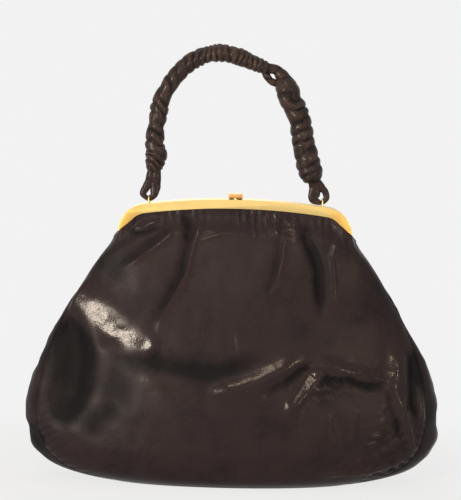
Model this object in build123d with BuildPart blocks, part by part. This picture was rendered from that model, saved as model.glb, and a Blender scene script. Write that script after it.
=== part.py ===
from build123d import *
import os
from math import hypot, pi, radians, sin, sqrt, tan

# Frame handbag in soft leather, standing on its base. Millimetres, +Z up, front towards -Y.
# The origin is on the floor under the middle of the bag.

# Leather body
hinge_height = 176.0  # frame pivot axis above the floor
belly_height = 50.0  # height of the widest section
body_half_width = 150.0
body_half_depth = 44.0
base_half_width = 88.0  # flat patch that the bag stands on
base_half_depth = 29.0
mouth_side_overhang = 4.0  # leather beyond the frame at the pivots
mouth_half_depth = 16.0  # at the pivot height
leather_thickness = 1.4
gusset_top_half_width = 6.0
gusset_base_half_width = 21.0

# Lining
lining_thickness = 0.7
lining_gap = 0.3
lining_drop = 12.0  # lining edge below the pivot axis

# Metal frame
frame_half_width = 85.0
frame_rise = 32.0  # top of the arch above the pivot axis
frame_top_radius = 480.0
frame_corner_radius = 21.0
rail_height = 6.5
rail_depth = 8.0
rail_wall = 0.8
frame_gap = 0.4  # between the two closed rails
rail_end_rise = 5.0  # rail ends above the pivot axis
rail_end_block = 4.0
leather_seat_gap = 0.3  # leather edge to the bottom of the rail channel

# Frame pivots
pivot_radius = 1.5
pivot_clearance = 0.05
pivot_head_radius = 2.6
pivot_head_thickness = 0.8
lug_radius = 4.0
lug_thickness = 1.2
lug_gap = 0.3
lug_inset = 1.3  # outer face of the outer lug inside the frame's side
pivot_room = 0.6  # leather stays this far outside the swing of the rail ends
rear_edge_drop = 5.0  # edge of the fixed rear leather below the pivot axis
rear_top_edge_drop = 3.0  # edge of the swinging rear leather below the pivot axis
rear_top_inset = 2.4  # the swinging rear leather lies this far inside the fixed one
rear_top_flare = 1.2  # it widens this much towards its lower edge

# Handle rings
ring_side_inset = 22.0  # ring inside the frame's side
ring_wire_radius = 0.6
ring_rise = 3.0  # swing axis above the rail at the ring
ring_clearance = 0.7  # room for the loops, which lean inwards
ring_hole_clearance = 0.05

# Handle
handle_height = 110.0  # top of the handle's middle line above the swing axis
handle_left_radius = 6.6
handle_right_radius = 8.0
gather_pitch = 9.0
gather_depth = 1.1
core_radius = 4.2
core_clearance = 0.2
loop_bar_radius = 1.5
loop_half_width = 7.0
loop_eye_width = 4.4
loop_eye_length = 11.0
loop_neck_half_width = 5.5
loop_edge_radius = 1.3

# Clasp
clasp_width = 10.0
clasp_wall = 0.8
clasp_overhang = 1.0  # lever lip in front of the front rail
clasp_height = 4.0  # top of the lever above the rails
clasp_lip_height = 2.4
clasp_skirt_gap = 1.0  # under the lever's side walls
clasp_side_gap = 0.1  # bracket to lever wall
clasp_pin_radius = 0.5
clasp_pin_clearance = 0.05
clasp_pin_height = 2.1
clasp_pin_setback = 2.2  # pin axis in front of the rear rail's back
clasp_tail_radius = 1.6
bracket_plate = 0.6
bracket_front_margin = 1.3
knuckle_radius = 0.95
spring_length = 1.2
spring_wall = 0.35
spring_gap = 0.1
catch_radius = 1.6
catch_height = 1.3
catch_edge = 0.4

# Gathers pressed into the leather under the frame
pleat_half_length = 36.0
pleat_radius = 5.5
pleat_sink = 2.0  # pleat's middle line below the leather's face

cut_overrun = 5.0  # cutters reach this far past what they cut

# Half-width and half-depth between the belly and the mouth, and between the base and the belly:
# share of the height, share of the change in half-width, share of the change in half-depth.
UPPER_BODY_SHARES = [(0.2, 0.93, 0.92), (0.44, 0.74, 0.75), (0.68, 0.45, 0.50), (0.895, 0.145, 0.17)]
LOWER_BODY_SHARES = [(0.07, 0.27, 0.42), (0.18, 0.56, 0.72), (0.37, 0.8, 0.9), (0.6, 0.935, 1.0)]
# The leather above the pivots closes in towards the rails.
MOUTH_RISE_SHARES = [0.3, 0.65, 1.0]
# Middle line of the handle: share of the rings' distance from the middle, share of the handle height.
HANDLE_ROUTE_SHARES = [
    (-0.945, 0.23),
    (-0.965, 0.40),
    (-0.945, 0.58),
    (-0.835, 0.76),
    (-0.595, 0.935),
    (-0.225, 1.005),
    (0.115, 0.965),
    (0.41, 0.82),
    (0.63, 0.62),
    (0.755, 0.42),
    (0.855, 0.20),
]
ROUTE_BEND_SHARE = 0.45  # of the shorter run, taken by the arc at each corner
# Pleats: share of the mouth half-width at the top and at the foot, height share of the upper body.
PLEAT_SHARES = [
    (-0.66, -0.98, 0.92),
    (-0.38, -0.50, 0.86),
    (-0.12, -0.16, 0.96),
    (0.20, 0.24, 0.96),
    (0.42, 0.52, 0.86),
    (0.64, 0.90, 0.92),
]
PLEAT_FOOT_SHARE = 0.45  # of the upper body's height, from the pleat's top to its foot

# Derived places
mouth_half_width = frame_half_width + mouth_side_overhang
upper_body = hinge_height - belly_height
frame_top = hinge_height + frame_rise
rail_back = frame_gap / 2  # face of a rail at the parting plane
rail_front = rail_back + rail_depth
rail_middle = rail_back + rail_depth / 2
rail_end = hinge_height + rail_end_rise
rail_inside = frame_half_width - rail_height
reach = body_half_width + cut_overrun


def drop_from_top(x, radius):
    """How far an arc of that radius has fallen at x from its highest point."""
    return radius - sqrt(radius**2 - x**2)


def body_stations(inset):
    """Height, half-width and half-depth of the bag's sections, taken in by inset."""
    rows = [(0.0, base_half_width, base_half_depth)]
    for height, wide, deep in LOWER_BODY_SHARES:
        rows.append(
            (
                height * belly_height,
                base_half_width + wide * (body_half_width - base_half_width),
                base_half_depth + deep * (body_half_depth - base_half_depth),
            )
        )
    rows.append((belly_height, body_half_width, body_half_depth))
    for height, wide, deep in UPPER_BODY_SHARES:
        rows.append(
            (
                belly_height + height * upper_body,
                mouth_half_width + wide * (body_half_width - mouth_half_width),
                mouth_half_depth + deep * (body_half_depth - mouth_half_depth),
            )
        )
    rows.append((hinge_height, mouth_half_width, mouth_half_depth))
    rows.extend(mouth_stations(mouth_half_depth))
    lift = inset / hinge_height
    return [(z + inset - lift * min(z, hinge_height), a - inset, b - inset) for z, a, b in rows]


def mouth_stations(depth_at_pivots):
    """Sections of the leather from above the pivots to the top of the rails."""
    top_half_depth = rail_middle + leather_thickness / 2
    top_half_width = frame_half_width - rail_height + leather_thickness
    return [
        (
            hinge_height + share * frame_rise,
            mouth_half_width + share * (top_half_width - mouth_half_width),
            depth_at_pivots + share * (top_half_depth - depth_at_pivots),
        )
        for share in MOUTH_RISE_SHARES
    ]


def lofted(stations):
    """A smooth solid through oval sections."""
    with BuildPart() as form:
        for z, half_width, half_depth in stations:
            with BuildSketch(Plane.XY.offset(z)):
                Ellipse(half_width, half_depth)
        loft()
    return form.part


def section_at(z):
    """Half-width and half-depth of the bag at a height, between its stations."""
    rows = body_stations(0.0)
    for (z0, a0, b0), (z1, a1, b1) in zip(rows, rows[1:]):
        if z0 <= z <= z1:
            share = (z - z0) / (z1 - z0)
            return a0 + share * (a1 - a0), b0 + share * (b1 - b0)
    return rows[-1][1:]


def face_point(x, z, side):
    """The point of the bag's face at x and z, on the front (side -1) or the rear (side 1)."""
    half_width, half_depth = section_at(z)
    return Vector(x, side * half_depth * sqrt(1 - (x / half_width) ** 2), z)


def arch_view(inset, bottom):
    """Front view (x, z) of the frame's arch taken in by inset, down to a height."""
    half = frame_half_width - inset
    top = frame_top - inset
    radius = frame_top_radius - inset
    shoulder = top - drop_from_top(half, radius)
    low = shoulder - frame_rise - 2 * frame_corner_radius
    with BuildSketch() as view:
        with BuildLine():
            ThreePointArc((-half, shoulder), (0, top), (half, shoulder))
            Polyline((half, shoulder), (half, low), (-half, low), (-half, shoulder))
        make_face()
        fillet(view.vertices().group_by(Axis.Y)[-1], frame_corner_radius - inset)
        with Locations((0, (low + bottom) / 2)):
            Rectangle(2 * reach, bottom - low, mode=Mode.SUBTRACT)
    return view.sketch_local


def pleat(top_share, foot_share, height_share, side):
    """One gather: a slim spindle laid along the leather's face."""
    z_top = belly_height + height_share * upper_body
    z_foot = z_top - PLEAT_FOOT_SHARE * upper_body
    top = face_point(top_share * mouth_half_width, z_top, side)
    foot = face_point(foot_share * mouth_half_width, z_foot, side)
    along = (foot - top).normalized()
    outwards = Vector(0, side, 0)
    middle = (top + foot) * 0.5 - outwards * pleat_sink
    with BuildPart() as spindle:
        with BuildSketch(Plane(origin=middle, x_dir=along, z_dir=along.cross(outwards))):
            Ellipse(pleat_half_length, pleat_radius)
            with Locations((0, -pleat_radius)):
                Rectangle(2 * pleat_half_length, 2 * pleat_radius, mode=Mode.SUBTRACT)
        revolve(axis=Axis(middle, along))
    return spindle.part


# Shapes of the leather and of the lining
bag_form = lofted(body_stations(0.0))
leather_inside = lofted(body_stations(leather_thickness))
lining_outside = lofted(body_stations(leather_thickness + lining_gap))
lining_inside = lofted(body_stations(leather_thickness + lining_gap + lining_thickness))
pleats = [pleat(*shares, side) for side in (-1, 1) for shares in PLEAT_SHARES]

with BuildPart() as bag_skin:
    add(bag_form)
    add(pleats)
    add(leather_inside, mode=Mode.SUBTRACT)

# Leather stays out of the swing of the rail ends.
end_block_reach = hypot(rail_middle + leather_thickness, rail_end_rise + rail_end_block)
pivot_swing_radius = max(hypot(rail_front, rail_end_rise), end_block_reach) + pivot_room
with BuildPart() as pivot_space:
    for side in (-1, 1):
        start = Plane.YZ.offset(side * (rail_inside - pivot_room))
        with BuildSketch(start):
            with Locations((0, hinge_height)):
                Circle(pivot_swing_radius)
        extrude(amount=side * (rail_height + mouth_side_overhang + cut_overrun))

# Leather above the pivots ends just short of the bottom of the rail channel.
seat_view = arch_view(rail_wall + leather_seat_gap, hinge_height)
with BuildPart() as seat_space:
    with BuildSketch(Plane.XZ):
        add(seat_view)
        with Locations((0, hinge_height / 2)):
            Rectangle(2 * reach, hinge_height)
    extrude(amount=reach, both=True)


def side_view(points):
    """A region of the side view, through the whole width of the bag."""
    with BuildPart() as region:
        with BuildSketch(Plane.YZ):
            with BuildLine():
                Polyline(*points, close=True)
            make_face()
        extrude(amount=reach, both=True)
    return region.part


front_region = side_view(
    [
        (-reach, -cut_overrun),
        (-gusset_base_half_width, -cut_overrun),
        (-gusset_base_half_width, 0),
        (-gusset_top_half_width, hinge_height),
        (-rail_back, hinge_height),
        (-rail_back, frame_top),
        (-reach, frame_top),
    ]
)
rear_edge = hinge_height - rear_edge_drop
rear_edge_seam = gusset_top_half_width + (
    gusset_base_half_width - gusset_top_half_width
) * rear_edge_drop / hinge_height
rear_region = side_view(
    [
        (reach, -cut_overrun),
        (gusset_base_half_width, -cut_overrun),
        (gusset_base_half_width, 0),
        (rear_edge_seam, rear_edge),
        (reach, rear_edge),
    ]
)
gusset_region = side_view(
    [
        (-gusset_base_half_width, -cut_overrun),
        (gusset_base_half_width, -cut_overrun),
        (gusset_base_half_width, 0),
        (rear_edge_seam, rear_edge),
        (-rear_edge_seam, rear_edge),
        (-gusset_base_half_width, 0),
    ]
)

# Leather panels
with BuildPart() as front_panel:
    add(bag_skin.part)
    add(front_region, mode=Mode.INTERSECT)
    add(seat_space.part, mode=Mode.INTERSECT)
    add(pivot_space.part, mode=Mode.SUBTRACT)

with BuildPart() as rear_panel:
    add(bag_skin.part)
    add(rear_region, mode=Mode.INTERSECT)
    add(pivot_space.part, mode=Mode.SUBTRACT)

with BuildPart() as gusset:
    add(bag_skin.part)
    add(gusset_region, mode=Mode.INTERSECT)
    add(pivot_space.part, mode=Mode.SUBTRACT)

# Upper edge of the rear leather, which swings with the rear frame
rear_top_edge = hinge_height - rear_top_edge_drop
rear_top_region = side_view(
    [(rail_back, rear_top_edge), (reach, rear_top_edge), (reach, frame_top), (rail_back, frame_top)]
)
swing_half_depth = mouth_half_depth - rear_top_inset
rear_top_rows = [
    (rear_edge, mouth_half_width + 2 * rear_top_flare, swing_half_depth + rear_top_flare),
    (hinge_height, mouth_half_width, swing_half_depth),
    *mouth_stations(swing_half_depth),
]
rear_top_form = lofted(rear_top_rows)
rear_top_inside = lofted([(z, a - leather_thickness, b - leather_thickness) for z, a, b in rear_top_rows])
with BuildPart() as rear_panel_top:
    add(rear_top_form)
    add(rear_top_inside, mode=Mode.SUBTRACT)
    add(rear_top_region, mode=Mode.INTERSECT)
    add(seat_space.part, mode=Mode.INTERSECT)
    add(pivot_space.part, mode=Mode.SUBTRACT)

# Fabric lining: one sewn pouch
lining_region = side_view(
    [
        (-reach, -cut_overrun),
        (reach, -cut_overrun),
        (reach, hinge_height - lining_drop),
        (-reach, hinge_height - lining_drop),
    ]
)
with BuildPart() as lining:
    add(lining_outside)
    add(lining_inside, mode=Mode.SUBTRACT)
    add(lining_region, mode=Mode.INTERSECT)

# Handle ring places
ring_x = frame_half_width - ring_side_inset
swing_axis_height = frame_top - drop_from_top(ring_x, frame_top_radius) + ring_rise
ring_line_radius = loop_bar_radius + ring_clearance + ring_wire_radius
ring_foot = swing_axis_height - ring_rise - rail_wall - drop_from_top(ring_wire_radius, ring_x) / 2


def rail(side):
    """A channel rail bent to the arch, on the front (side -1) or the rear (side 1)."""
    inner_lug = side < 0
    outer_face = frame_half_width - lug_inset
    lug_start = outer_face - lug_thickness
    if inner_lug:
        lug_start -= lug_thickness + lug_gap
    arch_outside = arch_view(0.0, rail_end)
    arch_inside = arch_view(rail_height, rail_end - cut_overrun)
    channel_view = arch_view(rail_wall, rail_end + rail_end_block)
    with BuildPart() as channel:
        with BuildSketch(Plane.XZ.offset(-side * rail_back)):
            add(arch_outside)
            add(arch_inside, mode=Mode.SUBTRACT)
        extrude(amount=-side * rail_depth)
        with BuildSketch(Plane.XZ.offset(-side * (rail_back + rail_wall))):
            add(channel_view)
        extrude(amount=-side * (rail_depth - 2 * rail_wall), mode=Mode.SUBTRACT)
        for end in (-1, 1):
            with BuildSketch(Plane.YZ.offset(end * lug_start)):
                with Locations((0, hinge_height)):
                    Circle(lug_radius)
                with Locations((side * rail_middle, rail_end - rail_wall / 2)):
                    Rectangle(rail_depth, rail_wall)
                make_hull()
                with Locations((0, hinge_height)):
                    Circle(pivot_radius + pivot_clearance, mode=Mode.SUBTRACT)
            extrude(amount=end * lug_thickness)
    return channel.part


front_rail = rail(-1)
with BuildPart() as front_frame:
    add(front_rail)
    for end in (-1, 1):
        for leg in (-1, 1):
            with BuildSketch(Plane.XY.offset(swing_axis_height)):
                with Locations((end * ring_x, leg * ring_line_radius - rail_middle)):
                    Circle(ring_wire_radius + ring_hole_clearance)
            extrude(amount=-(ring_rise + rail_height), mode=Mode.SUBTRACT)

rear_rail = rail(1)
with BuildPart() as rear_frame:
    add(rear_rail)


def pivot_rivet(end):
    """A headed pin through both lugs of one pivot."""
    lugs = 2 * lug_thickness + lug_gap
    outer = frame_half_width - lug_inset + lug_gap
    inner = outer - lugs - 2 * lug_gap
    with BuildPart() as rivet:
        with BuildSketch(Plane.YZ.offset(end * inner)):
            with Locations((0, hinge_height)):
                Circle(pivot_radius)
        extrude(amount=end * (outer - inner))
        for face_x, way in ((inner, -1), (outer, 1)):
            with BuildSketch(Plane.YZ.offset(end * face_x)):
                with Locations((0, hinge_height)):
                    Circle(pivot_head_radius)
            extrude(amount=end * way * pivot_head_thickness)
        rims = rivet.edges().filter_by(GeomType.CIRCLE).group_by(SortBy.RADIUS)[-1]
        fillet([rims.sort_by(Axis.X)[0], rims.sort_by(Axis.X)[-1]], pivot_head_thickness / 2)
    return rivet.part


left_rivet, right_rivet = pivot_rivet(-1), pivot_rivet(1)
with BuildPart() as left_hinge_rivet:
    add(left_rivet)

with BuildPart() as right_hinge_rivet:
    add(right_rivet)


def handle_ring(end):
    """A wire staple that stands on the front rail across the handle's loop."""
    crown = Plane.YZ.offset(end * ring_x)
    legs = ring_line_radius
    with BuildPart() as ring:
        with BuildLine(crown) as route:
            Line((-rail_middle - legs, ring_foot), (-rail_middle - legs, swing_axis_height))
            CenterArc((-rail_middle, swing_axis_height), legs, 180, -180)
            Line((-rail_middle + legs, swing_axis_height), (-rail_middle + legs, ring_foot))
        with BuildSketch(Plane(origin=route.line @ 0, z_dir=route.line % 0)):
            Circle(ring_wire_radius)
        sweep()
    return ring.part


left_ring, right_ring = handle_ring(-1), handle_ring(1)
with BuildPart() as left_handle_ring:
    add(left_ring)

with BuildPart() as right_handle_ring:
    add(right_ring)


# Handle: a cord core in a ruched leather sleeve that ends in two strap loops
def route_radii(points):
    """Bend radius at each corner of the handle's middle line, as large as its runs allow."""
    radii = []
    for before, corner, after in zip(points, points[1:], points[2:]):
        run_in = corner - before
        run_out = after - corner
        turn = radians(run_in.get_angle(run_out))
        radii.append(ROUTE_BEND_SHARE * min(run_in.length, run_out.length) / tan(turn / 2))
    return radii


handle_points = [
    Vector(x_share * ring_x, -rail_middle, swing_axis_height + z_share * handle_height)
    for x_share, z_share in HANDLE_ROUTE_SHARES
]
handle_bends = route_radii(handle_points)
with BuildLine() as handle_route:
    FilletPolyline(*handle_points, radius=handle_bends)
handle_line = handle_route.wire()
gather_count = round(handle_line.length / gather_pitch)


def gather_radius(share):
    """Sleeve radius along the handle: it swells and draws in with each gather."""
    plain = handle_left_radius + share * (handle_right_radius - handle_left_radius)
    return plain - gather_depth * sin(pi * gather_count * share) ** 2


def across(share):
    """The plane square to the handle's middle line at a share of its length."""
    return Plane(origin=handle_line @ share, x_dir=(0, 1, 0), z_dir=handle_line % share)


sleeve_sections = 4 * gather_count
with BuildPart() as handle_core:
    with BuildSketch(across(0.0)):
        Circle(core_radius)
    sweep(path=handle_line)

with BuildPart() as handle_bore:
    with BuildSketch(across(0.0)):
        Circle(core_radius + core_clearance)
    sweep(path=handle_line)

with BuildPart() as handle_cover:
    for step in range(sleeve_sections + 1):
        with BuildSketch(across(step / sleeve_sections)):
            Circle(gather_radius(step / sleeve_sections))
    loft(ruled=True)
    add(handle_bore.part, mode=Mode.SUBTRACT)


def handle_loop(end):
    """A strap loop round a ring, closed against the end of the sleeve."""
    share = 0.0 if end < 0 else 1.0
    collar = across(share)
    inwards = collar.z_dir if end < 0 else -collar.z_dir
    neck = collar.origin + inwards * loop_neck_half_width
    pivot = Vector(end * ring_x, -rail_middle, swing_axis_height)
    aim = neck - pivot
    forwards = Vector(0, -1, 0)
    eye_middle = loop_bar_radius + loop_eye_length / 2
    with BuildPart() as strap:
        with BuildSketch(Plane(origin=pivot, x_dir=aim.cross(forwards), z_dir=forwards)):
            with Locations((0, loop_half_width - loop_bar_radius)):
                Circle(loop_half_width)
            with Locations((0, aim.length)):
                Circle(loop_neck_half_width)
            make_hull()
            with Locations((0, eye_middle)):
                SlotOverall(loop_eye_length, loop_eye_width, rotation=90, mode=Mode.SUBTRACT)
        extrude(amount=loop_bar_radius, both=True)
        fillet(strap.faces().filter_by(Axis.Y).edges(), loop_edge_radius)
        split(bisect_by=Plane(origin=collar.origin, z_dir=inwards), keep=Keep.BOTTOM)
    return strap.part


left_loop, right_loop = handle_loop(-1), handle_loop(1)
with BuildPart() as left_handle_loop:
    add(left_loop)

with BuildPart() as right_handle_loop:
    add(right_loop)

# Lift clasp: a bracket, pin, spring and lever on the rear rail, and a catch on the front rail
pin_y = rail_front - clasp_pin_setback
pin_z = frame_top + clasp_pin_height
lever_top = frame_top + clasp_height
lever_half = clasp_width / 2
bracket_half = lever_half - clasp_wall - clasp_side_gap
lever_front = -(rail_front + clasp_overhang)
knuckle_start = -bracket_half + spring_length + spring_gap

with BuildPart() as clasp_bracket:
    with BuildSketch(Plane.XY.offset(frame_top)):
        with Locations((0, (rail_back + bracket_front_margin + rail_front - rail_wall) / 2)):
            Rectangle(2 * bracket_half, rail_depth - bracket_front_margin - rail_wall)
    extrude(amount=bracket_plate)
    with BuildSketch(Plane.YZ.offset(knuckle_start)):
        with Locations((pin_y, pin_z)):
            Circle(knuckle_radius)
        with Locations((pin_y, frame_top + pin_z / 2 - frame_top / 2)):
            Rectangle(2 * knuckle_radius, clasp_pin_height)
        with Locations((pin_y, pin_z)):
            Circle(clasp_pin_radius + clasp_pin_clearance, mode=Mode.SUBTRACT)
    extrude(amount=bracket_half - knuckle_start)

with BuildPart() as clasp_pin:
    with BuildSketch(Plane.YZ.offset(-lever_half)):
        with Locations((pin_y, pin_z)):
            Circle(clasp_pin_radius)
    extrude(amount=clasp_width)

with BuildPart() as clasp_spring:
    with BuildSketch(Plane.YZ.offset(-bracket_half)):
        with Locations((pin_y, pin_z)):
            Circle(clasp_pin_radius + clasp_pin_clearance + spring_wall)
            Circle(clasp_pin_radius + clasp_pin_clearance, mode=Mode.SUBTRACT)
    extrude(amount=spring_length)

with BuildPart() as clasp_lever:
    with BuildSketch(Plane.YZ.offset(-lever_half)):
        with Locations((pin_y, pin_z)):
            Circle(clasp_tail_radius)
        with BuildLine():
            Polyline(
                (lever_front, lever_top),
                (pin_y, lever_top),
                (pin_y, frame_top + clasp_skirt_gap),
                (-rail_front, frame_top + clasp_skirt_gap),
                (lever_front, lever_top - clasp_lip_height),
                close=True,
            )
        make_face()
    extrude(amount=clasp_width)
    tail = pin_y + clasp_tail_radius + cut_overrun
    lip_back = lever_front + clasp_wall
    with BuildSketch(Plane.YZ.offset(-lever_half + clasp_wall)):
        with Locations(((lip_back + tail) / 2, lever_top - clasp_wall - clasp_height / 2)):
            Rectangle(tail - lip_back, clasp_height)
    extrude(amount=clasp_width - 2 * clasp_wall, mode=Mode.SUBTRACT)
    with BuildSketch(Plane.YZ.offset(-lever_half)):
        with Locations((pin_y, pin_z)):
            Circle(clasp_pin_radius + clasp_pin_clearance)
    extrude(amount=clasp_width, mode=Mode.SUBTRACT)

with BuildPart() as clasp_catch:
    with BuildSketch(Plane.XY.offset(frame_top)):
        with Locations((0, -rail_middle)):
            Circle(catch_radius)
    extrude(amount=catch_height)
    chamfer(clasp_catch.faces().sort_by(Axis.Z)[-1].edges(), catch_edge)

pieces = {
    "front_panel": front_panel,
    "rear_panel": rear_panel,
    "rear_panel_top": rear_panel_top,
    "gusset": gusset,
    "lining": lining,
    "front_frame": front_frame,
    "rear_frame": rear_frame,
    "left_hinge_rivet": left_hinge_rivet,
    "right_hinge_rivet": right_hinge_rivet,
    "left_handle_ring": left_handle_ring,
    "right_handle_ring": right_handle_ring,
    "handle_cover": handle_cover,
    "handle_core": handle_core,
    "left_handle_loop": left_handle_loop,
    "right_handle_loop": right_handle_loop,
    "clasp_bracket": clasp_bracket,
    "clasp_pin": clasp_pin,
    "clasp_spring": clasp_spring,
    "clasp_lever": clasp_lever,
    "clasp_catch": clasp_catch,
}
os.makedirs("parts", exist_ok=True)
for name, piece in pieces.items():
    piece.part.label = name
    export_step(piece.part, f"parts/{name}.step")
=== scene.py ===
"""Dressed model of a soft leather frame handbag with a ruched handle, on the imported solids."""

import logging
import math
from dataclasses import dataclass
from enum import Enum

import bmesh
import bpy
import numpy as np
from bpy.types import Material, Node, NodeSocket, NodeTree, Object
from mathutils import Matrix, Vector


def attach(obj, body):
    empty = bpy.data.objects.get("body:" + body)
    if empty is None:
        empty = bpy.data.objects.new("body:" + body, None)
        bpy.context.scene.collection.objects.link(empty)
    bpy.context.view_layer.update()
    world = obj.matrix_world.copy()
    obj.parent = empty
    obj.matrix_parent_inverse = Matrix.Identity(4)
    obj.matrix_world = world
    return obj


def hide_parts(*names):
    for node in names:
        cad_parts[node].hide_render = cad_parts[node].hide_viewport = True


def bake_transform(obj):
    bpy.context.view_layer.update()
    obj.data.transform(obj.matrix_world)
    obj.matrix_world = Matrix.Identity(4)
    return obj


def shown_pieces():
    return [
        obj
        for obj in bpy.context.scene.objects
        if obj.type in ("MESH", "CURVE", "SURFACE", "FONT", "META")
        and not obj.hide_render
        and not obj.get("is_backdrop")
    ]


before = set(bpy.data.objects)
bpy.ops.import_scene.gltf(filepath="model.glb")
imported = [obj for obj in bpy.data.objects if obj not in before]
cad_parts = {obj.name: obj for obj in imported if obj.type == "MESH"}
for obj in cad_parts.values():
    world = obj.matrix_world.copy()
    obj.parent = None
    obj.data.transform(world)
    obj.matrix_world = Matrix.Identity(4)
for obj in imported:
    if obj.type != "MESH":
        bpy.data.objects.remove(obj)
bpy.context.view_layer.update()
LOG = logging.getLogger("handbag")
MM = 0.001
SEED = 7
Array = np.ndarray
Row = tuple[float, ...]
Rows = tuple[Row, ...]
Line = tuple[tuple[float, float], ...]
MIRRORED = np.array([-1.0, 1.0, 1.0])
BACKWARDS = np.array([0.0, 1.0, 0.0])
CALC = "ShaderNodeMath"
NOISE = "ShaderNodeTexNoise"
PRODUCT = {"operation": "MULTIPLY"}
SCALED_SUM = {"operation": "MULTIPLY_ADD"}


def linear(hex_colour: str) -> tuple[float, float, float, float]:
    """Turn an sRGB hex colour into linear RGBA.

    Args:
        hex_colour: Six hex digits, with or without a leading hash.

    Returns:
        The linear red, green and blue, and an alpha of 1.
    """
    digits = hex_colour.lstrip("#")
    channels = [int(digits[i : i + 2], 16) / 255 for i in (0, 2, 4)]
    return (*[c / 12.92 if c <= 0.04045 else ((c + 0.055) / 1.055) ** 2.4 for c in channels], 1.0)


def add_node(tree: NodeTree, kind: str, settings: dict | None = None, **inputs) -> Node:
    """Add a node with its settings and its inputs.

    Args:
        tree: The tree that gets the node.
        kind: The node's type name.
        settings: Properties of the node to set.
        **inputs: Input names, with underscores for spaces, or in0, in1 for places, to a socket or a value.

    Returns:
        The new node.
    """
    node = tree.nodes.new(kind)
    for name, value in (settings or {}).items():
        setattr(node, name, value)
    for name, value in inputs.items():
        numbered = name.startswith("in") and name[2:].isdigit()
        socket = node.inputs[int(name[2:])] if numbered else node.inputs[name.replace("_", " ")]
        if isinstance(value, NodeSocket):
            tree.links.new(value, socket)
        else:
            socket.default_value = value
    return node


def new_material(name: str) -> tuple[Material, NodeTree, Node, NodeSocket]:
    """Start a node material.

    Args:
        name: The material's name.

    Returns:
        The material, its tree, its shader, and the socket that gives places on the piece.
    """
    material = bpy.data.materials.new(name)
    material.use_nodes = True
    tree = material.node_tree
    place = add_node(tree, "ShaderNodeTexCoord").outputs["Object"]
    return material, tree, tree.nodes["Principled BSDF"], place


def put(name: str, data: bpy.types.ID) -> Object:
    """Make an object and link it to the scene.

    Args:
        name: The object's name.
        data: Its mesh, lamp or camera.

    Returns:
        The object, at the origin.
    """
    made = bpy.data.objects.new(name, data)
    bpy.context.scene.collection.objects.link(made)
    return made


# Places of the leather's painted hollow shade, plain and rubbed colours on its ramp.
RAMP_STOPS = (0.35, 0.7, 1.0)


@dataclass(frozen=True)
class Leather:
    """Glazed black-brown lambskin: thin, finely grained, polished on its folds and dull in its hollows, with
    painted shade darkening the hollows.

    Attributes:
        name: The material's name.
        hollow_shade: Painted shade: a darker colour put in the folds' hollows, where shade falls.
        plain: Colour of the flat leather.
        rubbed: Colour on the folds' crests, where the dye has rubbed.
        roughness: Gloss of the flat leather.
        polish: How much glossier the crests are, and how much duller the hollows.
        grain_mm: Width of a grain pebble. The real 0.5 mm doesn't show, so it is drawn coarser.
        grain_depth_mm: Depth of the grain.
        crease_mm: Spacing of the fine creases.
        crease_depth_mm: Depth of the fine creases.
        blotch_mm: Spacing of the dye's blotches.
        shine: Strength of the glaze's mirror.
    """

    name: str
    hollow_shade: str
    plain: str
    rubbed: str
    roughness: float
    polish: float
    grain_mm: float
    grain_depth_mm: float
    crease_mm: float
    crease_depth_mm: float
    blotch_mm: float = 30.0
    shine: float = 0.13

    def material(self) -> Material:
        """Build the node material, which reads the piece's wear and painted shade, from -1 in hollows,
        darkened as painted shade, to 1 on rubbed crests.

        Returns:
            The material.
        """
        material, tree, shader, place = new_material(self.name)
        wear_and_shade = add_node(tree, "ShaderNodeAttribute", {"attribute_name": "wear_and_shade"}).outputs["Fac"]
        blotch = add_node(tree, NOISE, Vector=place, Scale=1 / (self.blotch_mm * MM), Detail=5.0,
                          Roughness=0.65)
        crease = add_node(tree, NOISE, Vector=place, Scale=1 / (self.crease_mm * MM), Detail=3.0,
                          Roughness=0.55, Distortion=0.5)
        grain = add_node(tree, NOISE, Vector=place, Scale=1 / (self.grain_mm * MM), Detail=2.0).outputs["Fac"]
        mottle = add_node(tree, CALC, SCALED_SUM, in0=grain, in1=0.4, in2=blotch.outputs["Fac"])
        # Painted shade: the negative side of the wear value darkens the leather towards the hollow colour,
        # where its folds are shaded; the positive side gives the crests the rubbed colour of real wear.
        shade = add_node(tree, CALC, SCALED_SUM, in0=wear_and_shade, in1=0.36, in2=mottle.outputs[0])
        ramp = add_node(tree, "ShaderNodeValToRGB", Fac=shade.outputs[0])
        ramp.color_ramp.elements.new(RAMP_STOPS[1])
        colours = (self.hollow_shade, self.plain, self.rubbed)
        for element, position, colour in zip(ramp.color_ramp.elements, RAMP_STOPS, colours):
            element.position = position
            element.color = linear(colour)
        uneven = add_node(tree, CALC, SCALED_SUM, in0=grain, in1=0.12, in2=self.roughness - 0.06)
        gloss = add_node(tree, CALC, SCALED_SUM, in0=wear_and_shade, in1=-self.polish, in2=uneven.outputs[0])
        fine = add_node(tree, "ShaderNodeBump", Strength=0.5, Distance=self.grain_depth_mm * MM, Height=grain)
        folds = add_node(tree, "ShaderNodeBump", Strength=0.5, Distance=self.crease_depth_mm * MM,
                         Height=crease.outputs["Fac"], Normal=fine.outputs[0])
        tree.links.new(ramp.outputs["Color"], shader.inputs["Base Color"])
        tree.links.new(gloss.outputs[0], shader.inputs["Roughness"])
        tree.links.new(folds.outputs[0], shader.inputs["Normal"])
        shader.inputs["Specular IOR Level"].default_value = self.shine
        return material


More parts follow.
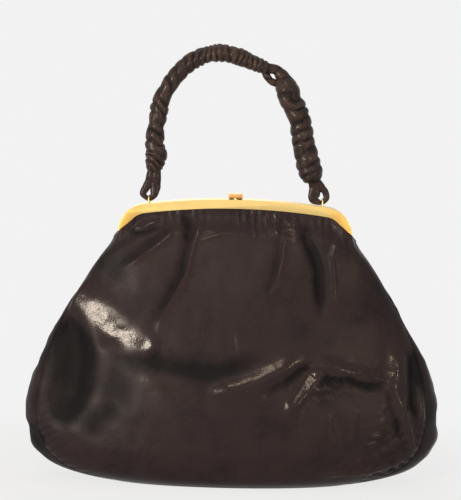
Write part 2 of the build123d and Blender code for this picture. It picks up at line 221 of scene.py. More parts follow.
@dataclass(frozen=True)
class Brass:
    """Lacquered polished brass: a warm yellow mirror, browner where the lacquer has worn at the ends.

    Attributes:
        name: The material's name.
        bright: Colour of the polished face.
        worn: Colour towards the frame's ends, where hands rub it.
        wear_from_mm: Distance from the middle where the wear starts.
        wear_to_mm: Distance from the middle where it is full.
        roughness: Softness of the polish.
    """

    name: str
    bright: str
    worn: str
    wear_from_mm: float
    wear_to_mm: float
    roughness: float

    def material(self) -> Material:
        """Build the brass's node material.

        Returns:
            The material.
        """
        material, tree, shader, place = new_material(self.name)
        axes = add_node(tree, "ShaderNodeSeparateXYZ", Vector=place)
        across = add_node(tree, CALC, {"operation": "ABSOLUTE"}, in0=axes.outputs["X"])
        tarnish = add_node(tree, NOISE, Vector=place, Scale=1 / (7.0 * MM), Detail=5.0).outputs["Fac"]
        spread = add_node(tree, CALC, SCALED_SUM, in0=tarnish, in1=8.0 * MM, in2=across.outputs[0])
        worn = add_node(tree, "ShaderNodeMapRange", {"interpolation_type": "SMOOTHSTEP"},
                        Value=spread.outputs[0], From_Min=self.wear_from_mm * MM,
                        From_Max=self.wear_to_mm * MM)
        colour = add_node(tree, "ShaderNodeMix", {"data_type": "RGBA"}, Factor=worn.outputs[0],
                          in6=linear(self.bright), in7=linear(self.worn))
        smoother, rougher = -0.08, 0.1
        scuffs = add_node(tree, "ShaderNodeMapRange", Value=tarnish, To_Min=self.roughness + smoother,
                          To_Max=self.roughness + rougher)
        tree.links.new(colour.outputs[2], shader.inputs["Base Color"])
        tree.links.new(scuffs.outputs[0], shader.inputs["Roughness"])
        shader.inputs["Metallic"].default_value = 1.0
        return material


@dataclass(frozen=True)
class Twill:
    """Plain cotton twill for the lining: matt, with fine slanted ribs.

    Attributes:
        name: The material's name.
        colour: Colour of the cloth.
        shade: Colour between its ribs.
        rib_mm: Spacing of the ribs. The real 0.6 mm doesn't show, so it is drawn coarser.
        rib_depth_mm: Depth of the ribs.
    """

    name: str
    colour: str
    shade: str
    rib_mm: float
    rib_depth_mm: float = 0.2

    def material(self) -> Material:
        """Build the cloth's node material.

        Returns:
            The material.
        """
        material, tree, shader, place = new_material(self.name)
        rib = add_node(tree, "ShaderNodeTexWave", {"bands_direction": "DIAGONAL"}, Vector=place,
                       Scale=0.5 / (self.rib_mm * MM), Distortion=0.4, Detail=2.0).outputs["Fac"]
        colour = add_node(tree, "ShaderNodeMix", {"data_type": "RGBA"}, Factor=rib,
                          in6=linear(self.shade), in7=linear(self.colour))
        bump = add_node(tree, "ShaderNodeBump", Strength=0.4, Distance=self.rib_depth_mm * MM, Height=rib)
        tree.links.new(colour.outputs[2], shader.inputs["Base Color"])
        tree.links.new(bump.outputs[0], shader.inputs["Normal"])
        shader.inputs["Roughness"].default_value = 0.85
        shader.inputs["Sheen Weight"].default_value = 0.15
        return material


# Each leather's first colour is painted shade, put in the hollows of its folds.
BAG_LEATHER = Leather("glazed_lambskin", "#090608", "#241b1d", "#2a2020", 0.42, 0.26, 1.3, 0.1, 5.0, 0.3)
HANDLE_LEATHER = Leather(
    "glazed_lambskin_handle", "#191313", "#2e2422", "#493b34", 0.32, 0.16, 1.6, 0.05, 7.0, 0.2,
)
FRAME_BRASS = Brass("lacquered_brass", "#dcbe79", "#e0b05c", 64.0, 86.0, 0.3)
CLASP_BRASS = Brass("lacquered_brass_clasp", "#e2b878", "#c98f4e", 0.0, 12.0, 0.32)
LINING_TWILL = Twill("cotton_twill", "#3a2f2b", "#241c19", 1.2)
CORE_COTTON = Twill("twisted_cotton", "#cbc4b4", "#9d9584", 1.5)


def ease(value: Array, start: float, end: float) -> Array:
    """Go smoothly from 0 at start to 1 at end, whichever of them is larger."""
    t = np.clip((value - start) / (end - start), 0.0, 1.0)
    return t * t * (3 - 2 * t)


def swell(value: Array, middle: float, reach: float) -> Array:
    """Rise softly to 1 at the middle and fall off over the reach to both sides."""
    return np.exp(-(((value - middle) / reach) ** 2))


def banded(*bands: tuple[float, float, int]) -> Array:
    """Join runs of evenly spaced values into one column.

    Args:
        *bands: Each run's first value, its last one, where the next run starts, and their count.

    Returns:
        The values, one per row.
    """
    runs = [np.linspace(*band) for band in bands]
    return np.concatenate([*(run[:-1] for run in runs[:-1]), runs[-1]])[:, None]


def hermite(t: Array, gap: Array, ends: tuple, slopes: tuple) -> Array:
    """Blend between two values with given slopes.

    Args:
        t: Shares of the way across the gap.
        gap: Width of the gap.
        ends: The values at its two ends.
        slopes: The slopes there.

    Returns:
        The blended values.
    """
    return (
        (2 * t**3 - 3 * t**2 + 1) * ends[0] + (t**3 - 2 * t**2 + t) * slopes[0] * gap
        + (3 * t**2 - 2 * t**3) * ends[1] + (t**3 - t**2) * slopes[1] * gap
    )


def curve_through(places: Array, keys: Row, values: Row) -> Array:
    """Read a smooth curve through keyed values.

    Args:
        places: Where to read it.
        keys: Rising key places.
        values: The value at each key.

    Returns:
        The curve's values at the places.
    """
    xs, ys = np.array(keys, float), np.array(values, float)
    steps = np.diff(ys) / np.diff(xs)
    slopes = np.concatenate([[steps[0]], (steps[1:] + steps[:-1]) / 2, [steps[-1]]])
    slopes[1:-1] = np.where(steps[1:] * steps[:-1] <= 0, 0.0, slopes[1:-1])
    i = np.clip(np.searchsorted(xs, places, side="right") - 1, 0, len(xs) - 2)
    gap = xs[i + 1] - xs[i]
    t = np.clip((places - xs[i]) / gap, 0.0, 1.0)
    return hermite(t, gap, (ys[i], ys[i + 1]), (slopes[i], slopes[i + 1]))


def smooth_line(points: Array, count: int) -> Array:
    """Draw a smooth line through points.

    Args:
        points: The points, one per row.
        count: How many points the line gets, evenly spaced.

    Returns:
        The line's points.
    """
    chord = np.concatenate([[0.0], np.cumsum(np.linalg.norm(np.diff(points, axis=0), axis=1))])
    slopes = np.gradient(points, chord, axis=0)
    places = np.linspace(0, chord[-1], count)
    i = np.clip(np.searchsorted(chord, places, side="right") - 1, 0, len(chord) - 2)
    gap = (chord[i + 1] - chord[i])[:, None]
    t = (places - chord[i])[:, None] / gap
    return hermite(t, gap, (points[i], points[i + 1]), (slopes[i], slopes[i + 1]))


def tube(line: Array, wide: Array, deep: Array, angle: Array) -> Array:
    """Lay rings round a line that runs square to the bag's depth.

    Args:
        line: The middle line, in mm.
        wide: Half width of each ring at each angle, in mm.
        deep: Half depth of each ring at each angle, in mm.
        angle: Angles round a ring.

    Returns:
        The rings' points, one ring per row.
    """
    ahead = np.gradient(line, axis=0)
    ahead /= np.linalg.norm(ahead, axis=1, keepdims=True)
    side = np.cross(ahead, BACKWARDS)
    sideways = side[:, None, :] * (wide * np.cos(angle))[..., None]
    return line[:, None, :] + (sideways + BACKWARDS * (deep * np.sin(angle))[..., None])


def grid_mesh(name: str, points: Array, wrap: bool = False, wear_and_shade: Array | None = None) -> Object:
    """Make a mesh piece from a grid of points, facing whoever sees its columns go right and its rows go down.

    Args:
        name: The piece's name.
        points: Rows by columns by three, in mm.
        wrap: Whether the last column joins the first.
        wear_and_shade: Wear of the leather at each point, from -1 in hollows, which the material darkens as
            painted shade, to 1 on rubbed crests.

    Returns:
        The new object, smooth shaded, at the origin.
    """
    rows, columns = points.shape[:2]
    ids = np.arange(rows * columns).reshape(rows, columns)
    right = np.roll(ids, -1, axis=1) if wrap else ids[:, 1:]
    left = ids if wrap else ids[:, :-1]
    quads = np.stack([left[:-1], left[1:], right[1:], right[:-1]], axis=-1).reshape(-1, 4).tolist()
    if wrap:
        quads += [ids[0].tolist(), ids[-1, ::-1].tolist()]
    mesh = bpy.data.meshes.new(name)
    mesh.from_pydata((points.reshape(-1, 3) * MM).tolist(), [], quads)
    mesh.polygons.foreach_set("use_smooth", np.ones(len(mesh.polygons), bool))
    mesh.update()
    if wear_and_shade is not None:
        values = wear_and_shade.ravel().astype(np.float32)
        mesh.attributes.new("wear_and_shade", "FLOAT", "POINT").data.foreach_set("value", values)
    return put(name, mesh)


def grid_normals(points: Array) -> Array:
    """Unit normals of a grid of points, on the side that grid_mesh faces."""
    normals = np.cross(np.gradient(points, axis=0), np.gradient(points, axis=1))
    return normals / np.maximum(np.linalg.norm(normals, axis=-1, keepdims=True), 1e-9)


# How many waves lie over each other, their lengths as shares of the spacing, how far and how often a crest
# wanders, the range of their starts, and what brings their sum to about -1 to 1.
WAVE_COUNT = 9
WAVE_LENGTHS = (0.7, 1.7)
WAVE_BEND = (0.9, 0.4)
PHASES = 6.3
WAVE_CALM = 4.0


@dataclass(frozen=True)
class Waves:
    """Loose seeded waves in soft leather.

    Attributes:
        height: Their height.
        spacing: Typical distance between crests, in mm.
        seed: Added to the seed of the piece that they lie on.
        stretch: What places are multiplied by, across and upwards.
    """

    height: float
    spacing: float
    seed: int
    stretch: tuple[float, float] = (1.0, 1.0)

    def over(self, across: Array, up: Array, seed: int) -> Array:
        """Lay the waves over a surface.

        Args:
            across: Places across, in mm.
            up: Heights, in mm.
            seed: The piece's seed.

        Returns:
            The waves' heights at those places.
        """
        rng = np.random.default_rng(seed + self.seed)
        x, z = np.broadcast_arrays(across * self.stretch[0], up * self.stretch[1])
        total = np.zeros(x.shape)
        for _ in range(WAVE_COUNT):
            angle = rng.uniform(0, math.pi)
            wave = 2 * math.pi / (self.spacing * rng.uniform(*WAVE_LENGTHS))
            along = (x * math.sin(angle) - z * math.cos(angle)) * wave * WAVE_BEND[1]
            bend = WAVE_BEND[0] * np.sin(along + rng.uniform(0, PHASES))
            climb = (x * math.cos(angle) + z * math.sin(angle)) * wave
            total += np.sin(climb + bend + rng.uniform(0, PHASES))
        return self.height * total / WAVE_CALM


class FoldKind(Enum):
    """How the leather lies at a fold."""

    RIDGE = "ridge"
    VALLEY = "valley"
    LAP = "lap"


RIDGE, VALLEY, LAP = FoldKind
# Shares of a fold's length over which it rises and fades out.
FADE_IN, FADE_OUT = 0.25, 0.3
# A lap's reach in widths, how steep its edge is and how far it runs on past its ends, then the height of its
# lip, and how fast the lip and the sunk leather level out.
LAP_REACH, LAP_CLIFF, LAP_LENGTH = 3.0, 3.2, 0.25
LIP_HEIGHT, LIP_FALL, SUNK_FALL = 0.7, 1.5, 0.7


def beside(points: Line, x: Array, z: Array) -> tuple[Array, ...]:
    """Measure how places on a panel lie beside a line drawn on it.

    Args:
        points: The line, as (x, z) in mm.
        x: Places across, in mm.
        z: Heights, in mm.

    Returns:
        Distance from the line, distance to its left in mm, and share of the way along it.
    """
    line = np.array(points, float)
    runs = np.diff(line, axis=0)
    lengths = np.hypot(runs[:, 0], runs[:, 1])
    starts = np.concatenate([[0.0], np.cumsum(lengths)])
    best, side, along = np.full(x.shape, np.inf), np.zeros(x.shape), np.zeros(x.shape)
    for (px, pz), (dx, dz), length, start in zip(line, runs, lengths, starts):
        share = np.clip(((x - px) * dx + (z - pz) * dz) / length**2, 0.0, 1.0)
        ox, oz = x - px - share * dx, z - pz - share * dz
        distance = np.hypot(ox, oz)
        nearer = distance < best
        best = np.where(nearer, distance, best)
        side = np.where(nearer, (ox * dz - oz * dx) / length, side)
        along = np.where(nearer, start + share * length, along)
    return best, side, along / starts[-1]


@dataclass(frozen=True)
class Fold:
    """One fold drawn over a leather panel, seen from its front.

    Attributes:
        kind: Ridge, valley, or a lap, where a lip on the line's right stands over sunk leather on its left.
        height: Height or depth in mm.
        width: Reach to each side in mm.
        points: Its line, downwards where it is a lap, as (x, z) in mm.
    """

    kind: FoldKind
    height: float
    width: float
    points: Line

    def lift(self, x: Array, z: Array) -> Array:
        """Work out how far the fold lifts the leather.

        Args:
            x: Places across, in mm.
            z: Heights, in mm.

        Returns:
            The lift along the leather's normal, in mm.
        """
        distance, side, share = beside(self.points, x, z)
        taper = ease(np.minimum(share / FADE_IN, (1 - share) / FADE_OUT), 0.0, 1.0)
        shape = swell(distance, 0.0, self.width)
        if self.kind is VALLEY:
            shape = -shape
        elif self.kind is LAP:
            signed = np.clip(side / self.width, -LAP_REACH, LAP_REACH)
            lip = 0.5 * (1 - np.tanh(signed * LAP_CLIFF))
            raised = lip * np.exp(-(signed**2) * LIP_FALL) * LIP_HEIGHT
            sunk = (1 - lip) * np.exp(-(signed**2) * SUNK_FALL)
            shape = (raised - sunk) * shape**LAP_LENGTH
        return self.height * taper * shape


UPPER_FOLDS: tuple[Fold, ...] = (
    Fold(LAP, 1.4, 4.5, ((-45.9, 197), (-45.9, 186.9), (-49.6, 182.1), (-61.3, 172.4), (-73.2, 163.8),
                         (-84, 156.3))),
    Fold(VALLEY, 1.6, 3.0, ((-36.4, 200), (-34.1, 187.1), (-35.1, 176))),
    Fold(LAP, 1.7, 5.0, ((-25.6, 199), (-28.2, 186), (-30.9, 177.8), (-33.1, 168.5), (-35.7, 155.6),
                         (-41.6, 143.9), (-48.5, 132.2), (-55.1, 120.3), (-56.3, 108))),
    Fold(RIDGE, 0.3, 1.4, ((-44.8, 183.4), (-35.5, 185.3), (-21, 185.6), (-9.4, 185.2))),
    Fold(RIDGE, 0.4, 1.6, ((-30.2, 176.7), (-20.9, 179.7), (-8.9, 184.1), (1.9, 183.6), (15.2, 181.8),
                           (28, 180.4))),
    Fold(RIDGE, 0.6, 2.4, ((-77, 186.5), (-64.2, 188.5), (-53, 193))),
    Fold(VALLEY, 1.0, 2.2, ((-78, 182.5), (-64.1, 184.6), (-53, 189))),
    Fold(LAP, 1.5, 4.0, ((35.2, 186), (34.7, 181.5), (33.4, 167.5), (30, 152.4), (24.2, 140))),
    Fold(VALLEY, 2.6, 4.5, ((48, 197), (51.1, 181.8), (57.3, 171.3), (61.1, 159.7), (62.5, 141.2),
                            (63.7, 122))),
    Fold(RIDGE, 0.8, 2.2, ((76, 186), (70.4, 167.9), (72.6, 150.5), (72.8, 132))),
    Fold(RIDGE, 0.8, 3.2, ((42, 198), (45, 184), (50, 168))),
    Fold(RIDGE, 0.5, 1.0, ((1.6, 199.6), (3, 189))),
    Fold(RIDGE, 0.5, 1.0, ((12.4, 190.2), (15.9, 181))),
    Fold(RIDGE, 0.4, 1.0, ((20.5, 197.7), (23.6, 189.4))),
    Fold(RIDGE, 0.5, 1.0, ((27.6, 199.4), (32, 191.3))),
    Fold(RIDGE, 0.5, 1.0, ((28.4, 190.8), (32.2, 182))),
    Fold(RIDGE, 0.4, 1.0, ((34.4, 187.8), (45.8, 188))),
    Fold(RIDGE, 0.4, 1.0, ((34.5, 178.7), (45.9, 178.2))),
    Fold(RIDGE, 0.4, 1.0, ((2.0, 116), (3.8, 105.5), (5.4, 95))),
)
BELLY_FOLDS: tuple[Fold, ...] = (
    Fold(RIDGE, 0.5, 8.0, ((-106.6, 125), (-100.9, 108.5), (-95.5, 98.2), (-83.6, 89.7), (-72.5, 83.2),
                           (-52.2, 77), (-35.6, 74.1), (-15, 71.5))),
    Fold(VALLEY, 7.0, 12.0, ((-128, 138), (-123, 122), (-117, 109), (-114, 92), (-116, 73), (-123, 54),
                             (-131, 40))),
    Fold(RIDGE, 0.4, 10.0, ((-88, 68), (-101.9, 60.1), (-109.8, 51.5), (-116, 30))),
    Fold(VALLEY, 1.2, 9.0, ((-80, 62), (-95.8, 48.9), (-104, 32))),
    Fold(VALLEY, 1.0, 14.0, ((-86, 106), (-82, 90), (-80, 74), (-88, 56))),
    Fold(VALLEY, 0.8, 14.0, ((-106, 172), (-88, 161), (-78, 148))),
    Fold(VALLEY, 1.8, 8.0, ((-84, 97), (-67, 95.8), (-47.4, 89.4), (-27.3, 86.4), (-9.1, 85.2), (4.5, 90.9),
                            (19.1, 94.7), (40, 96))),
    Fold(RIDGE, 3.0, 8.0, ((-20, 71), (-5.2, 73.5), (5.9, 75.2), (19.4, 80), (32.8, 85.4), (45.6, 94.7),
                           (52, 102))),
    Fold(VALLEY, 2.4, 4.5, ((20, 70), (35.8, 79.1), (49.3, 87.6), (61, 95.5))),
    Fold(RIDGE, 2.6, 5.0, ((62, 88), (49.6, 73.5), (43.3, 65.7), (42, 49))),
    Fold(RIDGE, 1.8, 4.5, ((55, 95), (71.6, 91.8), (81.8, 88.2), (92.8, 86.2), (106, 82))),
    Fold(VALLEY, 1.8, 2.6, ((56, 76.6), (71.8, 81.6), (83.7, 82.3), (97.8, 76.8), (117, 77))),
    Fold(RIDGE, 1.8, 5.0, ((116.5, 108), (121.2, 91.6), (121.3, 82.1), (118.6, 72.7), (120.6, 60),
                           (125, 42))),
    Fold(RIDGE, 1.6, 2.6, ((123, 73), (125.1, 59), (126.4, 50.9), (130, 40.5), (132.1, 31.1), (130.5, 21))),
    Fold(VALLEY, 1.6, 3.0, ((113.5, 78), (116.8, 63.7), (120, 52.1), (123.5, 35))),
    Fold(VALLEY, 3.0, 5.0, ((130.5, 105), (132.9, 92.5), (134, 76.9), (134.2, 61.9), (139.5, 47))),
    Fold(RIDGE, 0.6, 1.5, ((122, 123), (126.8, 107.3), (131.5, 94))),
    Fold(RIDGE, 0.9, 2.0, ((69.5, 58.5), (72.6, 45.4), (78, 32))),
    Fold(RIDGE, 0.9, 2.0, ((91, 62), (88.1, 47), (86.3, 34))),
    Fold(RIDGE, 0.8, 2.0, ((58, 12.1), (87.5, 13.5), (99.7, 13.7), (110, 16.3), (125, 18.2))),
    Fold(RIDGE, 0.6, 1.6, ((101, 40), (110, 42.6))),
    Fold(RIDGE, 0.6, 1.6, ((98, 33.5), (107.5, 36.8))),
    Fold(RIDGE, 0.6, 1.6, ((118.8, 16.4), (125.4, 23.7))),
    Fold(VALLEY, 2.0, 3.0, ((-147.5, 38), (-140.8, 33.7), (-134, 27))),
    Fold(RIDGE, 2.4, 2.4, ((133.5, 84), (136.6, 70), (138.4, 58), (140.5, 46))),
)


# Where a stretch ends and where it is full, in half widths from its line, and the least cosine between it and
# the panel that is reckoned with.
PULL_EDGE = (2.0, 0.3)
STEEPEST = 0.5


@dataclass(frozen=True)
class Pull:
    """A flat, polished stretch where the slack leather is pulled tight along a line.

    Attributes:
        points: Its line as (x, z) in mm.
        half_widths: Half its width at each end, in mm.
        facing: Direction that it faces.
        inset: How far its middle lies behind the smooth panel, in mm.
        hold: How flat it is pulled, from 0 to 1.
    """

    points: Line
    half_widths: tuple[float, float]
    facing: tuple[float, float, float]
    inset: float
    hold: float

    def share(self, x: Array, z: Array) -> Array:
        """Tell how much of the leather belongs to the stretch.

        Args:
            x: Places across, in mm.
            z: Heights, in mm.

        Returns:
            Its share at each place, from 0 to 1.
        """
        distance, _, along = beside(self.points, x, z)
        width = self.half_widths[0] + along * (self.half_widths[1] - self.half_widths[0])
        return self.hold * ease(distance / width, *PULL_EDGE)

    def lift(self, points: Array, normals: Array) -> Array:
        """Work out the lift that makes a panel flat there.

        Args:
            points: The smooth panel.
            normals: Its normals.

        Returns:
            The lift along the normals, in mm.
        """
        facing = np.array(self.facing) / np.linalg.norm(self.facing)
        middle = np.mean(self.points, axis=0)
        nearest = np.argmin(np.hypot(points[..., 0] - middle[0], points[..., 2] - middle[1]))
        origin = points.reshape(-1, 3)[nearest] - facing * self.inset
        return (origin - points) @ facing / np.maximum(normals @ facing, STEEPEST)


PATCH_PULL = Pull(((56, 83), (51, 75.5), (46, 67)), (4.5, 3.5), (-0.13, -0.867, 0.482), 0.5, 0.75)
SIDE_PULL = Pull(
    ((-109, 132.5), (-98, 123), (-88, 113.5), (-74, 108), (-62, 104.5)), (12.0, 6.0),
    (-0.275, -0.952, 0.138), 1.5, 0.89,
)


@dataclass
class BagShape:
    """Sizes of the standing bag in mm, as in the solids, with the leather's own fullness low down.

    Attributes:
        hinge: Height of the pivots. Not used.
        frame_top: Top of the frame's arch.
        arch_radius: Radius of the arch.
        corner_radius: Radius of the frame's corners.
        frame_half_width: Half the frame's width.
        rail_height: Height of the rail's face.
        heights: Heights where the bag's sizes are given.
        half_widths: Half its width there.
        half_depths: Half its depth there.
        seam_heights: Heights where the gusset's seams are given.
        seam_depths: Their distance from the middle plane there.
        square_heights: Heights where the squareness is given.
        squareness: Power of the oval cross-section there: 2 for an ellipse, more for a squarer one.
    """

    hinge: float = 176.0
    frame_top: float = 208.0
    arch_radius: float = 480.0
    corner_radius: float = 21.0
    frame_half_width: float = 85.0
    rail_height: float = 6.5
    heights: Row = (0, 3.5, 9, 18.5, 30, 50, 75.2, 105.4, 135.7, 162.8, 176, 185.6, 196.8, 208)
    half_widths: Row = (
        89, 108.5, 127.5, 142, 149, 151.5, 147, 135.3, 118, 99.3, 89.5, 86.3, 83.0, 79.9,
    )
    half_depths: Row = (29, 35.3, 39.8, 42.5, 44, 44, 41.8, 37, 30, 20.8, 16, 12.7, 8.8, 4.9)
    seam_heights: Row = (0, 60, 120, 150, 166, 176, 215)
    seam_depths: Row = (19.5, 13, 7.5, 4.5, 1.8, 0.5, 0.5)
    square_heights: Row = (0, 120, 155, 176, 190, 215)
    squareness: Row = (2.0, 2.1, 2.7, 5.5, 6.0, 6.0)

    def oval(self, place: Array, z: Array, along: Row, out: Row) -> Array:
        """Measure the oval cross-section.

        Args:
            place: Places along one of its axes, in mm.
            z: Heights, in mm.
            along: Half its size along that axis, at the shape's heights.
            out: Half its size along the other axis.

        Returns:
            How far the leather stands out along the other axis, in mm.
        """
        power = curve_through(z, self.square_heights, self.squareness)
        share = np.abs(place / curve_through(z, self.heights, along))
        return curve_through(z, self.heights, out) * np.clip(1 - share**power, 0, 1) ** (1 / power)

    def wall(self, x: Array, z: Array) -> Array:
        """How far the leather stands from the bag's middle plane at a place."""
        return self.oval(x, z, self.half_widths, self.half_depths)

    def reach(self, y: Array, z: Array) -> Array:
        """How far the leather reaches sideways at a depth and a height."""
        return self.oval(y, z, self.half_depths, self.half_widths)

    def seam_depth(self, z: Array) -> Array:
        """How far the gusset's seams lie from the bag's middle plane at a height."""
        return curve_through(z, self.seam_heights, self.seam_depths)

    def seam_x(self, z: Array) -> Array:
        """Half the width of a panel at a height."""
        return self.reach(self.seam_depth(z), z)

    def rail_edge(self, x: Array, inset: float) -> Array:
        """Follow the frame's arch, taken in.

        Args:
            x: Places across, in mm.
            inset: How far it is taken in, in mm.

        Returns:
            Its heights there, in mm.
        """
        corner_x = self.frame_half_width - self.corner_radius
        centre = self.frame_top - self.arch_radius
        corner_z = centre + math.sqrt((self.arch_radius - self.corner_radius) ** 2 - corner_x**2)
        radius = self.arch_radius - inset
        small = self.corner_radius - inset
        split = corner_x * radius / (self.arch_radius - self.corner_radius)
        top = centre + np.sqrt(radius**2 - np.minimum(np.abs(x), radius) ** 2)
        turn = corner_z + np.sqrt(np.maximum(small**2 - np.maximum(np.abs(x) - corner_x, 0) ** 2, 0))
        return np.where(np.abs(x) < split, top, turn)


@dataclass(frozen=True)
class Ruffle:
    """Small waves that run square to an edge of the leather.

    Attributes:
        height: Their height, in mm.
        turns: Radians per mm, across and upwards.
        sway: How unevenly they run.
        gap: Distance of their highest place from the edge, in mm.
        reach: How far they fade out to both sides of it, in mm.
        mirrored: Whether they run alike to the left and the right.
    """

    height: float
    turns: tuple[float, float]
    sway: Waves
    gap: float
    reach: float
    mirrored: bool = False

    def lift(self, x: Array, z: Array, distance: Array, seed: int) -> Array:
        """Work out how far the waves lift the leather.

        Args:
            x: Places across, in mm.
            z: Heights, in mm.
            distance: Distances from the edge, in mm.
            seed: The piece's seed.

        Returns:
            The lift along the leather's normal, in mm.
        """
        across, up = self.turns
        phase = z * up + (np.abs(x) if self.mirrored else x) * across
        waves = self.height * np.sin(phase + self.sway.over(x, z, seed))
        return waves * swell(distance, self.gap, self.reach)


# Heights in mm, and one distance from a seam, between which forms come up from nothing to their full size.
PUCKER_TOP = (70, 30)
SLACK_FOOT, SLACK_TOP = (0, 30), (200, 165)
STILL_FOOT, STILL_SEAM = (0, 9), (0, 5)
GROOVE_FOOT, GROOVE_TOP = (1, 6), (174, 160)
GUSSET_FOOT, GUSSET_TOP = (0, 14), (172, 150)
CREASE_RISE = (60, 120)
LINING_TOP = (165, 140)
# Top of the seams in mm, and the power by which forms keep their size until close to a seam.
PANEL_TOP = 178.0
EDGE_POWER = 6
# The rear panel takes the front's first folds, as long as they are low, and makes them slacker.
REAR_SEED = 20
REAR_COUNTS, REAR_MOST = (11, 13), 3
REAR_HEIGHT, REAR_WIDTH, REAR_ACROSS, REAR_DROP = 0.7, 1.1, 0.95, 4
# Rows and columns of the panels and the gusset, then sizes in mm, shares of the way down, and waves.
EDGE_HEIGHT = 178.5
PANEL_BANDS = ((0, 0.2, 74), (0.2, 0.9, 150), (0.9, 1.0, 36))
GUSSET_COLUMNS = 33
GUSSET_BANDS = ((EDGE_HEIGHT, 30, 150), (30, 0.0, 50))
BASE_ROWS = 100
ROLL_ROWS = 7
UNDER_ROWS = 8
SPREAD_BY = 0.35  # where a panel has reached its seams
LEAVE_BY = 0.1  # where it has left the rail
PUFF = (0.25, 0.03, 0.16)  # fullness under the rail: height, start and length
LINING_SLACK = 4.2  # how much further in the lining hangs at the sides
CREST_WEAR = 0.56  # height of a fold whose crest is fully rubbed
MOST_WEAR = 0.85  # wear of a crest that isn't pulled flat
CRUMPLES = (Waves(0.4, 9, 6, (0.7, 1.3)), Waves(0.28, 4.8, 7))
GATHERS = Ruffle(0.28, (1.05, 0.0), Waves(1.6, 26, 3, (1.0, 0.25)), 3.0, 8.0)
BUNCHING = Waves(0.6, 34, 2, (1.0, 0.0))
BUNCHED = (0.55, 0.1, 1.2)  # strength of the gathers: mean, least and most
PUCKERS = Ruffle(0.35, (0.5, 0.95), Waves(1.3, 30, 4), 4.0, 7.0, mirrored=True)
SLACK = (Waves(0.4, 60, 0), Waves(0.1, 16, 1))
PULLED = Waves(0.22, 17, 9)
GROOVE_DEPTH = 0.45
GROOVE_WIDTH = 1.8
# Painted shade: how far a seam's groove darkens the leather, as well as dulling it.
GROOVE_SHADE = 0.4
BELLOWS = (Waves(1.0, 34, 0), Waves(0.3, 11, 1))
DENTS = ((SEED + 5, -2.0), (SEED + 8, 3.2))  # seed, and depth of a dent, on the gusset's right and left
DENT_HEIGHT = 36.0
DENT_SIZE = (7.0, 16.0)  # reach up and across
CREASE = (2.2, 5.0)  # depth and reach of the gusset's crease


